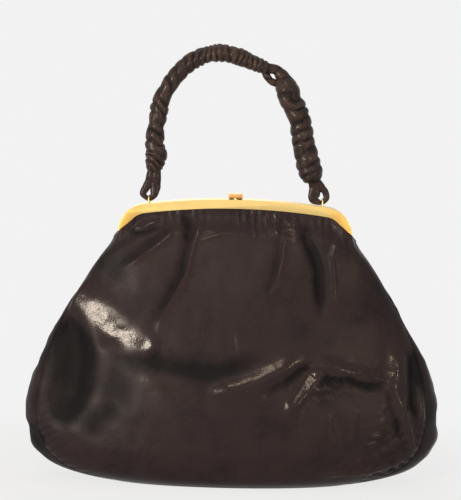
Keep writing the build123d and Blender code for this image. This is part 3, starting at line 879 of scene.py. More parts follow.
@dataclass
class LeatherBody:
    """The soft leather bag: front and rear panels, gusset and lining.

    Attributes:
        shape: Sizes of the standing bag.
        columns: Points across a panel.
        tuck: How far the leather goes up into the rail, in mm.
        lip: Radius of the leather's rolled upper edge, in mm.
        lining_inset: Distance of the lining inside the leather, in mm.
        lining_rows: First and last rows of a panel that the lining follows, and the step between rows.
        full_wear_and_shade: Depth of a fold whose hollow is fully dull and fully darkened with painted shade,
            in mm.
        crumpled: Middles and half sizes of the panels' crumpled patches, in mm.
    """

    shape: BagShape
    columns: int = 351
    tuck: float = 2.0
    lip: float = 0.9
    lining_inset: float = 1.8
    lining_rows: tuple[int, int, int] = (26, -7, 3)
    full_wear_and_shade: float = 1.6
    crumpled: tuple[tuple[tuple[float, float], tuple[float, float]], ...] = (
        ((86, 84), (30, 9)), ((122, 40), (16, 30)), ((102, 18), (30, 9)), ((60, 82), (16, 14)),
        ((38, 190), (16, 8)),
    )

    def top_edge(self, u: Array) -> Array:
        """Run the front leather's upper edge in the rail, then out from under it and over the frame's ends.

        Args:
            u: Places from -1 at the left pivot to 1 at the right one.

        Returns:
            Points (x, y, z) in mm.
        """
        s = self.shape
        end = np.array(EDGE_HEIGHT)
        keys = (0.0, 0.3, 0.55, 0.72, 0.80, 0.86, 0.91, 0.955, 1.0)
        xs = np.array([0.0, 27.0, 50.0, 64.0, 70.5, 75.5, 79.5, 84.0, float(s.seam_x(end))])
        zs = (*s.rail_edge(xs[:4], s.rail_height - self.tuck), 194.2, 190.4, 187.2, 183.6, EDGE_HEIGHT)
        depths = (6.4, 6.4, 6.4, 6.4, 7.6, 10.0, 10.4, 9.8, float(s.seam_depth(end)))
        x, y, z = (curve_through(np.abs(u), keys, values) for values in (xs, depths, zs))
        return np.stack([np.sign(u) * x, -y, z], axis=-1)

    def panel_points(self) -> Array:
        """Lay the smooth front panel, from its rolled upper edge down and under to the base seam.

        Returns:
            Its points in mm, one row after the other.
        """
        s = self.shape
        u = np.linspace(-1, 1, self.columns)
        top = self.top_edge(u)
        fall = banded(*PANEL_BANDS)
        z = top[None, :, 2] * (1 - fall)
        join = ease(fall, 0.0, SPREAD_BY)
        x = ((1 - join) * top[:, 0] / s.seam_x(top[:, 2]) + join * u) * s.seam_x(z)
        early = ease(fall, 0.0, LEAVE_BY)
        height, start, length = PUFF
        puff = height * np.sin(np.pi * np.clip((fall - start) / length, 0, 1)) * (1 - np.abs(u) ** EDGE_POWER)
        y = (1 - early) * top[:, 1] - early * s.wall(x, z) - puff
        body = np.stack([x, y, z], axis=-1)
        turn = np.linspace(0, math.pi, ROLL_ROWS)[:-1, None]
        roll = np.stack(np.broadcast_arrays(
            top[:, 0], top[:, 1] + self.lip * (1 + np.cos(turn)), top[:, 2] + self.lip * np.sin(turn),
        ), axis=-1)
        edge = body[-1]
        seam = np.stack([edge[:, 0], np.full(self.columns, -s.seam_depths[0]), edge[:, 2]], axis=-1)
        under = np.linspace(0, 1, UNDER_ROWS)[1:, None, None]
        return np.concatenate([roll, body, (1 - under) * edge + under * seam])

    def groove(self, gap: Array, z: Array) -> Array:
        """Run a groove along a seam, up to the pivots and down to the base.

        Args:
            gap: Distances from the seam, in mm.
            z: Heights, in mm.

        Returns:
            The groove's share at each place, from 0 to 1.
        """
        return swell(gap, 0.0, GROOVE_WIDTH) * ease(z, *GROOVE_TOP) * ease(z, *GROOVE_FOOT)

    def folded(self, points: Array, folds: tuple[Fold, ...], pulls: tuple[Pull, ...],
               seed: int) -> tuple[Array, Array]:
        """Lay the folds, the gathers, the crumples and the loose waves of soft leather over a panel.

        Args:
            points: The smooth panel.
            folds: Folds to lay over it.
            pulls: Stretches that are pulled flat.
            seed: Picks the waves.

        Returns:
            The folded panel, and its wear and painted shade, from -1 in hollows darkened as painted shade to
            1 on rubbed crests.
        """
        s = self.shape
        normals = grid_normals(points)
        x, z = points[..., 0], points[..., 2]
        lift = sum((fold.lift(x, z) for fold in folds), np.zeros(x.shape))
        mean, least, most = BUNCHED
        bunched = np.clip(mean + BUNCHING.over(x, z, seed), least, most)
        lift += bunched * GATHERS.lift(x, z, s.rail_edge(x, s.rail_height) - z, seed)
        crumple = sum(waves.over(x, z, seed) for waves in CRUMPLES)
        for (centre_x, centre_z), (across, up) in self.crumpled:
            lift += swell(x, centre_x, across) * swell(z, centre_z, up) * crumple
        seam_gap = (1 - np.abs(np.linspace(-1, 1, self.columns))) * s.seam_x(np.clip(z, 0, PANEL_TOP))
        lift += PUCKERS.lift(x, z, seam_gap, seed) * ease(z, *PUCKER_TOP)
        # Painted shade: in a hollow the negative wear darkens the leather where the fold is shaded, and dulls
        # it; on a crest the positive wear is rubbed dye and polish.
        wear_and_shade = np.clip(lift / np.where(lift < 0, self.full_wear_and_shade, CREST_WEAR), -1, MOST_WEAR)
        slack = sum(waves.over(x, z, seed) for waves in SLACK)
        lift += slack * ease(z, *SLACK_FOOT) * ease(z, *SLACK_TOP)
        for pull in pulls:
            flat = pull.share(x, z)
            lift += flat * (pull.lift(points, normals) + PULLED.over(x, z, seed) - lift)
            wear_and_shade += flat * (1 - wear_and_shade)
        lift *= ease(z, *STILL_FOOT) * ease(seam_gap, *STILL_SEAM)
        groove = self.groove(seam_gap, z)
        lift -= GROOVE_DEPTH * groove
        # Painted shade: the seam's groove is darkened as well as sunk.
        return points + normals * lift[..., None], wear_and_shade - GROOVE_SHADE * groove

    def front(self) -> tuple[Array, Array]:
        """Points of the front panel, and its wear and painted shade."""
        return self.folded(self.panel_points(), UPPER_FOLDS + BELLY_FOLDS, (SIDE_PULL, PATCH_PULL), SEED)

    def rear(self) -> tuple[Array, Array]:
        """Lay the rear panel, with slacker folds of its own, seen from behind.

        Returns:
            Its points in mm, and its wear and painted shade.
        """
        upper, belly = REAR_COUNTS
        folds = tuple(
            Fold(fold.kind, fold.height * REAR_HEIGHT, fold.width * REAR_WIDTH,
                 tuple((-x * REAR_ACROSS, z - REAR_DROP) for x, z in fold.points))
            for fold in UPPER_FOLDS[:upper] + BELLY_FOLDS[:belly]
            if fold.kind is not LAP and fold.height < REAR_MOST
        )
        return self.folded(self.panel_points(), folds, (), SEED + REAR_SEED)

    def turned(self, piece: Object) -> Object:
        """Turn a piece half round the bag's upright axis, from the front to the rear."""
        piece.data.transform(Matrix.Rotation(math.pi, 4, "Z"))
        return piece

    def gusset(self) -> Object:
        """Build the strip round the sides and the base.

        Returns:
            The piece.
        """
        s = self.shape
        down = banded(*GUSSET_BANDS)
        across = np.linspace(-1, 1, GUSSET_COLUMNS)
        y = s.seam_depth(down) * across
        x, z = s.reach(y, down), np.broadcast_to(down, y.shape)
        fade = ease(z, *GUSSET_FOOT) * ease(z, *GUSSET_TOP) * (1 - across**EDGE_POWER)
        groove = GROOVE_DEPTH * self.groove((1 - np.abs(across)) * s.seam_depth(down), z)
        crease_depth, crease_reach = CREASE
        crease = crease_depth * swell(y, 0.0, crease_reach) * ease(z, *CREASE_RISE)
        dented = swell(z, DENT_HEIGHT, DENT_SIZE[0]) * swell(y, 0.0, DENT_SIZE[1])
        sides, worn = [], []
        for seed, dent in DENTS:
            lift = sum(waves.over(z, y, seed) for waves in BELLOWS) - dent * dented - crease
            sides.append(np.stack([x + lift * fade - groove, y, z], axis=-1))
            # Painted shade: the gusset's hollows, dents, crease and seam grooves darken its leather through
            # this value; its crests take the rubbed colour of real wear.
            worn.append(np.clip(lift * fade / self.full_wear_and_shade, -1, 1) - groove)
        right, left = sides[0], (sides[1] * MIRRORED)[::-1]
        base = np.linspace(1, -1, BASE_ROWS)[1:-1, None]
        bottom = np.stack(np.broadcast_arrays(base * x[-1], y[-1], 0.0), axis=-1)
        wear_and_shade = np.concatenate([worn[0], np.zeros(bottom.shape[:2]), worn[1][::-1]])
        return grid_mesh("gusset_leather", np.concatenate([right, bottom, left]), wear_and_shade=wear_and_shade)

    def lining(self, name: str, panel: Array) -> Object:
        """Build half of the lining, which hangs inside a panel and halfway over the gusset.

        Args:
            name: The piece's name.
            panel: The folded panel that it follows, seen from its front.

        Returns:
            The piece, facing into the bag.
        """
        cloth = panel - grid_normals(panel) * self.lining_inset
        cloth = cloth[slice(*self.lining_rows), :: self.lining_rows[2]]
        z = cloth[:, :1, 2]
        inwards = np.linspace(0, 1, UNDER_ROWS)[:-1]
        y = cloth[:, :1, 1] * inwards
        x = self.shape.reach(y, z) - self.lining_inset - LINING_SLACK * ease(z, *LINING_TOP)
        right = np.stack(np.broadcast_arrays(x, y, z), axis=-1)
        cloth = np.concatenate([right * MIRRORED, cloth, right[:, ::-1]], axis=1)
        cloth[..., 2] = np.maximum(cloth[..., 2], self.lining_inset)
        under = np.linspace(1, 0, UNDER_ROWS)[1:, None, None]
        floor = cloth[-1] * (1 - BACKWARDS)
        return grid_mesh(name, np.concatenate([cloth, under * cloth[-1] + (1 - under) * floor])[:, ::-1])

    def build(self) -> None:
        """Make the bag's pieces and dress them, tie the front pieces to the bag's body, and fix the rear ones
        in place.
        """
        leather, cloth = BAG_LEATHER.material(), LINING_TWILL.material()
        # The panels' wear values also carry the painted shade of their folds' hollows.
        (front_points, front_wear_and_shade), (rear_points, rear_wear_and_shade) = self.front(), self.rear()
        front, gusset = grid_mesh("front_leather", front_points, wear_and_shade=front_wear_and_shade), self.gusset()
        rear = self.turned(grid_mesh("rear_leather", rear_points, wear_and_shade=rear_wear_and_shade))
        near = self.lining("lining_front", front_points)
        far = self.turned(self.lining("lining_rear", rear_points))
        for piece in (front, rear, gusset):
            piece.data.materials.append(leather)
        for piece in (near, far):
            piece.data.materials.append(cloth)
        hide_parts("front_panel")
        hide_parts("rear_panel", "rear_panel_top")
        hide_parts("gusset")
        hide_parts("lining")
        for piece in (front, gusset, near):
            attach(piece, "bag")
        for piece in (rear, far):
            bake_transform(piece)


# What the handle's middle lines carry, and the settings of the sleeve's node tree.
LINE_ATTRIBUTES = {
    "girth": "FLOAT", "turns": "FLOAT", "depth": "FLOAT", "slant": "FLOAT", "sideways": "FLOAT_VECTOR",
}
SLEEVE_SETTINGS = {"Strength": 1.1, "Wander": 1.8, "Crumple": 0.35}


@dataclass(frozen=True)
class LoopStrands:
    """Sizes of a strap loop in mm, from its left strand's top round the ring to its right strand's top.

    Attributes:
        across: Places of the strands' middle line to each side of the loop's axis.
        high: Places along the axis, up from the ring.
        half_widths: Half their thickness.
    """

    across: Row
    high: Row
    half_widths: Row


# Points along and round the handle's pieces, then sizes in mm, shares of the way along, and waves.
SLEEVE_COUNTS = (720, 90)
SLEEVE_SIDES = 96
SWAY = (0.5, 0.2)  # front to back: height, and radians per mm across
SWAY_RISE = (20, 60)
CORE_GRID = (160, 24)
CORE_LAY = (3, 0.5, 0.05)  # the cord's strands, their turn per ring in radians, their depth as a share
STRAP_GRID = (150, 36)
STRAP_KEYS = (0.0, 0.2, 0.35, 0.44, 0.5, 0.56, 0.65, 0.8, 1.0)
STRAP_ROOM = 1.3  # how much deeper the loops may be above the frame
STRAP_RISE = (12, 17)
STRAP_FLAT = 1.1  # most depth of a strand for its thickness
STRAP_CRUMPLE = Waves(0.06, 10, 100, (60, 4))
STRAP_CALM = (0.05, 0.12)  # distances from the ring where crumples start and where they are full


@dataclass
class HandleSleeve:
    """The ruched leather sleeve over a cord, and the strap loops that hold it to the rings.

    Attributes:
        route: Middle line as rows of x, z above the swing axis, radius, fold spacing, fold depth, all in mm,
            and the folds' slant in folds, from the left end.
        twist: The slack strand beside the sleeve's knot, in the same rows.
        axis_height: Swing axis above the floor, in mm.
        axis_y: Place of the swing axis front to back, in mm.
        ring_x: Distance of the rings from the middle, in mm.
        core_radius: Radius of the cord, in mm.
        strap_depth: Half the loops' depth where they pass over the frame when the handle lies down, in mm.
        strands: Sizes of the left and the right loop.
    """

    route: Rows = (
        (-59.5, 19.6, 4.0, 5, 0.5, 0.5), (-59.5, 21.7, 5.4, 5, 0.7, 0.7), (-58.9, 27.6, 7.2, 5, 1.2, 0.9),
        (-58.1, 33.4, 7.7, 5, 1.3, 0.9), (-59.6, 39.2, 6.7, 6, 1.2, 0.6), (-59.3, 44.2, 6.8, 8, 1.1, 0.4),
        (-59.1, 49.2, 6.5, 9, 1.1, 0.4), (-58.1, 55.0, 6.2, 9, 1.0, 0.4), (-57.1, 61.7, 6.4, 9, 1.0, 0.5),
        (-56.3, 67.5, 6.6, 9, 1.0, 0.5), (-54.3, 74.2, 6.0, 10, 1.0, 0.5), (-49.4, 83.4, 6.0, 10, 0.9, 0.5),
        (-44.2, 90.5, 6.1, 9, 0.9, 0.4), (-36.9, 97.8, 6.2, 7, 0.9, 0.3), (-28.9, 103.0, 6.3, 6, 1.0, 0.45),
        (-21.5, 105.7, 5.8, 4.4, 0.8, 0.5), (-14.0, 106.8, 6.5, 3.6, 1.0, -0.2),
        (-6.0, 105.8, 6.1, 5.0, 0.9, -0.5), (1.3, 103.8, 6.4, 3.8, 1.0, 0.2),
        (9.0, 100.7, 5.5, 4.6, 0.8, -0.4), (15.9, 98.1, 5.2, 4, 0.7, -0.2), (20.3, 96.6, 4.4, 5, 0.5, 0.0),
        (23.9, 96.2, 3.7, 7, 0.3, 0.2), (27.3, 95.2, 3.7, 7, 0.3, 0.2), (30.4, 92.5, 4.6, 8, 0.5, 0.3),
        (32.6, 88.0, 6.4, 9, 0.9, 0.4), (35.5, 81.8, 8.4, 11, 1.2, 0.5), (37.8, 74.3, 7.9, 11, 1.3, 0.5),
        (42.0, 67.6, 8.1, 9, 1.3, 0.3), (44.7, 61.2, 7.7, 8, 1.1, -0.2), (46.6, 52.4, 8.1, 8, 1.0, -0.3),
        (48.2, 43.3, 8.2, 8, 1.0, -0.3), (50.5, 34.2, 8.6, 8, 1.0, -0.4), (52.5, 26.6, 8.8, 8, 1.0, -0.4),
        (54.9, 19.8, 8.2, 8, 0.9, -0.4), (56.5, 16.6, 6.2, 8, 0.6, -0.3), (57.4, 14.4, 3.0, 8, 0.3, 0.0),
    )
    twist: Rows = (
        (15.5, 96.6, 2.6, 6, 0.2, 0.2), (19.0, 94.2, 2.8, 6, 0.2, 0.2), (20.4, 91.2, 2.7, 6, 0.3, 0.2),
        (22.5, 88.3, 2.6, 6, 0.3, 0.2), (25.8, 86.2, 2.6, 6, 0.3, 0.2), (29.2, 85.4, 2.7, 6, 0.2, 0.2),
        (33.0, 86.0, 2.6, 6, 0.2, 0.2),
    )
    axis_height: float = 206.848
    axis_y: float = -4.2
    ring_x: float = 63.0
    core_radius: float = 2.8
    strap_depth: float = 1.75
    strands: tuple[LoopStrands, LoopStrands] = (
        LoopStrands(
            (-1.5, -2.2, -3.6, -5.0, 0.0, 2.8, 3.1, 2.6, 1.5),
            (25.0, 13.0, 8.0, 3.4, 0.0, 3.2, 8.0, 13.0, 25.0),
            (3.0, 3.0, 2.9, 2.4, 1.5, 2.6, 3.6, 3.8, 3.2),
        ),
        LoopStrands(
            (-1.0, -1.1, -3.2, -5.0, 0.0, 3.6, 4.6, 3.6, 1.5),
            (18.0, 13.0, 8.4, 4.6, 0.0, 2.0, 6.1, 9.8, 18.0),
            (4.0, 4.2, 4.2, 3.5, 1.5, 2.2, 2.4, 2.6, 2.6),
        ),
    )

    def points(self, path: Array) -> Array:
        """Place rows of a route in the bag's frame, with a slight sway front to back, in mm."""
        sway = SWAY[0] * np.sin(path[:, 0] * SWAY[1]) * ease(path[:, 1], *SWAY_RISE)
        return np.stack([path[:, 0], self.axis_y + sway, self.axis_height + path[:, 1]], axis=-1)

    def line(self) -> Object:
        """Make the middle lines, with their girth and their folds' numbers, depths and slants as attributes.

        Returns:
            The lines, as the edges of one object.
        """
        routes = zip((self.route, self.twist), SLEEVE_COUNTS)
        paths = [smooth_line(np.array(rows), count) for rows, count in routes]
        table = {name: [] for name in LINE_ATTRIBUTES}
        edges, start = [], 0
        for path in paths:
            step = np.linalg.norm(np.diff(path[:, :2], axis=0), axis=1)
            ahead = np.gradient(path[:, :2], axis=0)
            sideways = np.stack([ahead[:, 1], 0 * ahead[:, 0], -ahead[:, 0]], axis=-1)
            table["girth"].append(path[:, 2])
            table["turns"].append(np.concatenate([[0.0], np.cumsum(step / path[1:, 3])]))
            table["depth"].append(path[:, 4] * MM)
            table["slant"].append(path[:, 5])
            table["sideways"].append(sideways / np.linalg.norm(sideways, axis=1, keepdims=True))
            edges += [(start + i, start + i + 1) for i in range(len(path) - 1)]
            start += len(path)
        mesh = bpy.data.meshes.new("handle_line")
        mesh.from_pydata((np.concatenate([self.points(path) for path in paths]) * MM).tolist(), edges, [])
        for name, kind in LINE_ATTRIBUTES.items():
            values = np.concatenate(table[name]).astype(np.float32)
            part = "vector" if kind == "FLOAT_VECTOR" else "value"
            mesh.attributes.new(name, kind, "POINT").data.foreach_set(part, values.ravel())
        return put("handle_line", mesh)

    def core(self) -> Object:
        """Make the cord inside the sleeve.

        Returns:
            The piece.
        """
        rings, sides = CORE_GRID
        strands, turn, depth = CORE_LAY
        line = self.points(smooth_line(np.array(self.route[1:-2]), rings))
        angle = np.linspace(0, 2 * math.pi, sides, endpoint=False)
        lay = np.cos(strands * angle[None, :] - np.arange(rings)[:, None] * turn)
        radius = self.core_radius * (1 + depth * lay)
        return grid_mesh("cord_core", tube(line, radius, radius, angle), wrap=True)

    def tree(self, material: Material) -> NodeTree:
        """Build the node tree that turns the line into a ruched sleeve.

        Args:
            material: The sleeve's leather.

        Returns:
            The tree, with inputs for the folds' strength, wander and crumpling.
        """
        tree = bpy.data.node_groups.new("ruched_sleeve", "GeometryNodeTree")
        tree.interface.new_socket("Geometry", in_out="OUTPUT", socket_type="NodeSocketGeometry")
        tree.interface.new_socket("Geometry", in_out="INPUT", socket_type="NodeSocketGeometry")
        for name in SLEEVE_SETTINGS:
            tree.interface.new_socket(name, in_out="INPUT", socket_type="NodeSocketFloat")
        given = add_node(tree, "NodeGroupInput").outputs
        read = {}
        for name, kind in LINE_ATTRIBUTES.items():
            node = add_node(tree, "GeometryNodeInputNamedAttribute", {"data_type": kind}, Name=name)
            read[name] = node.outputs["Attribute"]
        line = add_node(tree, "GeometryNodeMeshToCurve", Mesh=given["Geometry"])
        ring = add_node(tree, "GeometryNodeCurvePrimitiveCircle", Resolution=SLEEVE_SIDES, Radius=MM)
        pipe = add_node(tree, "GeometryNodeCurveToMesh", Curve=line.outputs[0],
                        Profile_Curve=ring.outputs["Curve"], Scale=read["girth"], Fill_Caps=True)
        place = add_node(tree, "GeometryNodeInputPosition").outputs[0]
        normal = add_node(tree, "GeometryNodeInputNormal").outputs[0]
        broad, patchy, fine = (
            add_node(tree, NOISE, Vector=place, Scale=1 / (spacing * MM), Detail=1.0).outputs["Fac"]
            for spacing in (16, 9, 5)
        )
        facing = add_node(tree, "ShaderNodeVectorMath", {"operation": "DOT_PRODUCT"}, in0=normal,
                          in1=read["sideways"]).outputs["Value"]
        leaning = add_node(tree, CALC, SCALED_SUM, in0=facing, in1=read["slant"], in2=read["turns"])
        wander = add_node(tree, CALC, SCALED_SUM, in0=broad, in1=given["Wander"], in2=leaning.outputs[0])
        wave = add_node(tree, CALC, PRODUCT, in0=wander.outputs[0], in1=math.pi)
        for operation in ("SINE", "ABSOLUTE"):
            wave = add_node(tree, CALC, {"operation": operation}, in0=wave.outputs[0])
        for operation, value in (("POWER", 0.6), ("SUBTRACT", 0.75)):
            wave = add_node(tree, CALC, {"operation": operation}, in0=wave.outputs[0], in1=value)
        varied = add_node(tree, "ShaderNodeMapRange", Value=patchy, From_Min=0.35, From_Max=0.65,
                          To_Min=0.35, To_Max=1.5)
        uneven = add_node(tree, CALC, PRODUCT, in0=wave.outputs[0], in1=varied.outputs[0]).outputs[0]
        crumple = add_node(tree, CALC, {"operation": "SUBTRACT"}, in0=fine, in1=0.5)
        lift = add_node(tree, CALC, SCALED_SUM, in0=crumple.outputs[0], in1=given["Crumple"], in2=uneven)
        for factor in (read["depth"], given["Strength"]):
            lift = add_node(tree, CALC, PRODUCT, in0=lift.outputs[0], in1=factor)
        offset = add_node(tree, "ShaderNodeVectorMath", {"operation": "SCALE"}, in0=normal,
                          Scale=lift.outputs[0])
        # Painted shade: the sleeve's fold troughs darken its leather through this value, while its crests
        # take the rubbed colour of real wear.
        wear_and_shade = add_node(tree, CALC, PRODUCT, in0=uneven, in1=1.5)
        shape = pipe
        for kind, inputs in (
            ("GeometryNodeStoreNamedAttribute", {"Name": "wear_and_shade", "Value": wear_and_shade.outputs[0]}),
            ("GeometryNodeSetPosition", {"Offset": offset.outputs[0]}),
            ("GeometryNodeSetShadeSmooth", {}),
            ("GeometryNodeRealizeInstances", {}),
            ("GeometryNodeSetMaterial", {"Material": material}),
            ("NodeGroupOutput", {}),
        ):
            shape = add_node(tree, kind, Geometry=shape.outputs[0], **inputs)
        return tree

    def build(self) -> None:
        """Make the sleeve and the loops, dress them and tie them to the handle."""
        leather = HANDLE_LEATHER.material()
        line = self.line()
        tree = self.tree(leather)
        folds = line.modifiers.new("ruched_sleeve", "NODES")
        folds.node_group = tree
        for item in tree.interface.items_tree:
            if item.in_out == "INPUT" and item.name in SLEEVE_SETTINGS:
                folds[item.identifier] = SLEEVE_SETTINGS[item.name]
        graph = bpy.context.evaluated_depsgraph_get()
        mesh = bpy.data.meshes.new_from_object(line.evaluated_get(graph))
        for name in LINE_ATTRIBUTES:
            if name in mesh.attributes:
                mesh.attributes.remove(mesh.attributes[name])
        sleeve = put("ruched_sleeve", mesh)
        bpy.data.objects.remove(line)
        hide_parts("handle_cover")
        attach(sleeve, "handle")
        for side, node, neck, strands in (
            (-1, "left_handle_loop", self.route[1], self.strands[0]),
            (1, "right_handle_loop", self.route[-1], self.strands[1]),
        ):
            loop = self.loop(node.replace("handle_loop", "strap_loop"), side * self.ring_x, neck, strands)
            loop.data.materials.append(leather)
            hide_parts(node)
            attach(loop, "handle")
        core = self.core()
        core.data.materials.append(CORE_COTTON.material())
        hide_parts("handle_core")
        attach(core, "handle")

    def loop(self, name: str, ring_x: float, neck: Row, strands: LoopStrands) -> Object:
        """Make a strap loop that goes round a ring and up into the sleeve.

        Args:
            name: The piece's name.
            ring_x: Place of the ring across, in mm.
            neck: The sleeve's end point.
            strands: The loop's sizes.

        Returns:
            The loop.
        """
        aim = np.array([neck[0] - ring_x, 0.0, neck[1]])
        up = aim / np.linalg.norm(aim)
        across = np.array([up[2], 0.0, -up[0]])
        rings, sides = STRAP_GRID
        t = np.linspace(0, 1, rings)[:, None]
        w, h, thick = (
            curve_through(t, STRAP_KEYS, values)
            for values in (strands.across, strands.high, strands.half_widths)
        )
        line = np.array([ring_x, self.axis_y, self.axis_height]) + w * across + h * up
        angle = np.linspace(0, 2 * math.pi, sides, endpoint=False)
        room = self.strap_depth + STRAP_ROOM * ease(h, *STRAP_RISE)
        waves = STRAP_CRUMPLE.over(t, angle[None, :], SEED + int(ring_x))
        crumple = 1 + waves * ease(np.abs(t - 0.5), *STRAP_CALM)
        deep = np.minimum(thick * STRAP_FLAT, room)
        return grid_mesh(name, tube(line, thick * crumple, deep * crumple, angle), wrap=True)


# Corners closer than this in mm are joined. Edges flatter than the first angle in degrees go, those sharper
# than the second are rounded in so many steps, and those sharper than the third stay sharp.
WELD = 0.002
FLAT_ANGLE = 1.0
BEVEL_ANGLE = 35.0
SHARP_ANGLE = 50.0
BEVEL_STEPS = 3


@dataclass
class FrameMetal:
    """The brass frame, rings and clasp: the solids, some with softened edges.

    Attributes:
        edge: Radius of the frame's softened edges, in mm.
        clasp_edge: Radius of the clasp lever's, in mm.
    """

    edge: float = 0.45
    clasp_edge: float = 0.3

    def softened(self, node: str, edge: float) -> Object:
        """Copy a solid with rounded edges.

        Args:
            node: The solid's name.
            edge: Radius of the rounding, in mm.

        Returns:
            The copy, under a name of its own.
        """
        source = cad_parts[node]
        work = bmesh.new()
        work.from_mesh(source.data)
        work.transform(source.matrix_world)
        bmesh.ops.remove_doubles(work, verts=work.verts, dist=WELD * MM)
        flat = math.radians(FLAT_ANGLE)
        bmesh.ops.dissolve_limit(work, angle_limit=flat, verts=work.verts, edges=work.edges)
        mesh = bpy.data.meshes.new(f"polished_{node}")
        work.to_mesh(mesh)
        work.free()
        piece = put(mesh.name, mesh)
        bevel = piece.modifiers.new("edge", "BEVEL")
        bevel.width = edge * MM
        bevel.segments = BEVEL_STEPS
        bevel.limit_method = "ANGLE"
        bevel.angle_limit = math.radians(BEVEL_ANGLE)
        graph = bpy.context.evaluated_depsgraph_get()
        finished = bpy.data.meshes.new_from_object(piece.evaluated_get(graph))
        piece.modifiers.clear()
        piece.data = finished
        finished.polygons.foreach_set("use_smooth", np.ones(len(finished.polygons), bool))
        finished.set_sharp_from_angle(angle=math.radians(SHARP_ANGLE))
        return piece

    def build(self) -> None:
        """Dress every metal piece."""
        brass, clasp = FRAME_BRASS.material(), CLASP_BRASS.material()
        for node, body, edge, material in (
            ("front_frame", "bag", self.edge, brass),
            ("rear_frame", "rear_half", self.edge, brass),
            ("clasp_lever", "lever", self.clasp_edge, clasp),
        ):
            piece = self.softened(node, edge)
            self.dress(piece, material)
            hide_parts(node)
            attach(piece, body)
        for node in ("left_hinge_rivet", "right_hinge_rivet", "left_handle_ring", "right_handle_ring"):
            self.dress(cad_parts[node], brass)
        for node in ("clasp_bracket", "clasp_pin", "clasp_spring", "clasp_catch"):
            self.dress(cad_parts[node], clasp)

    def dress(self, piece: Object, material: Material) -> None:
        """Give a piece its finish in place of the one that it has."""
        piece.data.materials.clear()
        piece.data.materials.append(material)


LAMP_AIM = (0, 0, 0.12)  # metres


@dataclass(frozen=True)
class Lamp:
    """A soft lamp that faces the bag.

    Attributes:
        name: The lamp's name.
        spot: Its place in metres.
        size: Width and height in metres.
        power: Strength in watts.
        colour: Its colour.
    """

    name: str
    spot: tuple[float, float, float]
    size: tuple[float, float]
    power: float
    colour: str

    def hang(self) -> None:
        """Put the lamp into the scene."""
        data = bpy.data.lights.new(self.name, "AREA")
        data.shape = "RECTANGLE"
        data.size, data.size_y = self.size
        data.energy = self.power
        data.color = linear(self.colour)[:3]
        lamp = put(self.name, data)
        lamp.location = self.spot
        lamp.rotation_euler = (Vector(LAMP_AIM) - Vector(self.spot)).to_track_quat("-Z", "Y").to_euler()


LAMPS = (
    Lamp("key", (-0.93, -1.19, 0.27), (0.2, 0.2), 17.0, "#fff0dc"),
    Lamp("ceiling", (-0.18, -1.05, 1.0), (0.18, 0.18), 3.8, "#ffecd0"),
    Lamp("window", (0.76, -1.2, 0.24), (0.08, 0.08), 3.2, "#ffe6bc"),
    Lamp("overhead", (0.0, 0.1, 1.5), (1.2, 0.8), 4.0, "#ffffff"),
    Lamp("rear_fill", (-0.3, 1.7, 0.7), (0.9, 0.9), 2.5, "#fff8f0"),
    Lamp("front_fill", (0.2, -1.8, 0.5), (0.8, 0.8), 0.9, "#fff8f0"),
)


SENSOR_HEIGHT = 24.0  # mm
FLOOR_HALF = 4.0  # metres


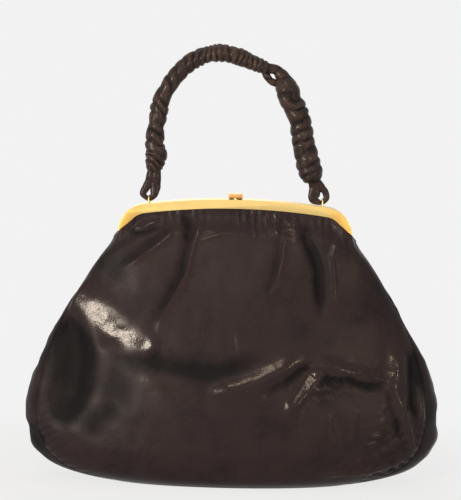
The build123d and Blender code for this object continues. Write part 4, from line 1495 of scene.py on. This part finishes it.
@dataclass
class Studio:
    """Pale floor, soft lights and the camera.

    Attributes:
        distance: Camera to bag, in metres.
        elevation: Camera above the horizon, in degrees.
        roll: Turn of the picture, in degrees.
        look_at: Point at the picture's middle, in mm.
        picture_height: Height that the picture takes in at the bag, in mm.
        backdrop: Colour of the background.
        floor_colour: Colour of the floor, which the lamps bring up to the background.
    """

    distance: float = 1.5
    elevation: float = 6.0
    roll: float = 1.2
    look_at: tuple[float, float, float] = (-3.0, 0.0, 170.5)
    picture_height: float = 365.0
    backdrop: str = "#f2f2f2"
    floor_colour: str = "#f2f2f2"

    def camera(self) -> None:
        """Place the camera at the photograph's angle."""
        data = bpy.data.cameras.new("camera")
        data.sensor_fit = "VERTICAL"
        data.sensor_height = SENSOR_HEIGHT
        data.lens = SENSOR_HEIGHT * self.distance / (self.picture_height * MM)
        camera = put("camera", data)
        rise = math.radians(self.elevation)
        target = Vector(self.look_at) * MM
        spot = target + Vector((0, -math.cos(rise), math.sin(rise))) * self.distance
        turn = (target - spot).to_track_quat("-Z", "Y").to_matrix().to_4x4()
        roll = Matrix.Rotation(math.radians(self.roll), 4, "Z")
        camera.matrix_world = Matrix.Translation(spot) @ turn @ roll
        bpy.context.scene.camera = camera

    def seen(self, tree: NodeTree) -> NodeSocket:
        """Tell apart the rays that show the backdrop: those from the camera, off gloss and through glass.

        Args:
            tree: The tree that asks.

        Returns:
            A socket that gives 1 for those rays and 0 for others.
        """
        path = add_node(tree, "ShaderNodeLightPath").outputs
        shown = path["Is Camera Ray"]
        for name in ("Is Glossy Ray", "Is Transmission Ray"):
            shown = add_node(tree, CALC, {"operation": "MAXIMUM"}, in0=shown, in1=path[name]).outputs[0]
        return shown

    def floor(self) -> None:
        """Lay a pale floor that keeps the bag's shadow near it and runs into the backdrop further off."""
        material, tree, paper, place = new_material("pale_floor")
        paper.inputs["Base Color"].default_value = linear(self.floor_colour)
        paper.inputs["Roughness"].default_value = 1.0
        paper.inputs["Specular IOR Level"].default_value = 0.0
        shown = add_node(tree, "ShaderNodeEmission", Color=linear(self.backdrop), Strength=1.0)
        away = add_node(tree, "ShaderNodeVectorMath", {"operation": "LENGTH"}, in0=place).outputs["Value"]
        clear = add_node(tree, "ShaderNodeMapRange", {"interpolation_type": "SMOOTHSTEP"}, Value=away,
                         From_Min=0.14, From_Max=0.36, To_Min=0.86, To_Max=1.0)
        part = add_node(tree, CALC, PRODUCT, in0=self.seen(tree), in1=clear.outputs[0]).outputs[0]
        mixed = add_node(tree, "ShaderNodeMixShader", Fac=part, in1=paper.outputs[0], in2=shown.outputs[0])
        tree.links.new(mixed.outputs[0], tree.nodes["Material Output"].inputs["Surface"])
        mesh = bpy.data.meshes.new("floor")
        corners = ((-1, -1), (1, -1), (1, 1), (-1, 1))
        mesh.from_pydata([(x * FLOOR_HALF, y * FLOOR_HALF, 0) for x, y in corners], [], [(0, 1, 2, 3)])
        mesh.materials.append(material)
        put("floor", mesh)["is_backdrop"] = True

    def build(self) -> None:
        """Set up the whole studio."""
        scene = bpy.context.scene
        scene.view_settings.view_transform = "Standard"
        world = bpy.data.worlds.new("studio")
        scene.world = world
        world.use_nodes = True
        tree = world.node_tree
        sky = tree.nodes["Background"]
        sky.inputs["Color"].default_value = linear("#d8d4cf")
        sky.inputs["Strength"].default_value = 0.45
        shown = add_node(tree, "ShaderNodeBackground", Color=linear(self.backdrop), Strength=1.0)
        mixed = add_node(tree, "ShaderNodeMixShader", Fac=self.seen(tree), in1=sky.outputs[0],
                         in2=shown.outputs[0])
        tree.links.new(mixed.outputs[0], tree.nodes["World Output"].inputs["Surface"])
        self.camera()
        self.floor()
        for lamp in LAMPS:
            lamp.hang()


def main() -> None:
    """Build every piece and report it."""
    logging.basicConfig(level=logging.INFO, format="%(name)s: %(message)s")
    Studio().build()
    shape = BagShape()
    LeatherBody(shape).build()
    HandleSleeve().build()
    FrameMetal().build()
    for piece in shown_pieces():
        LOG.info("%s: %d faces", piece.name, len(piece.data.polygons))


if __name__ == "__main__":
    main()
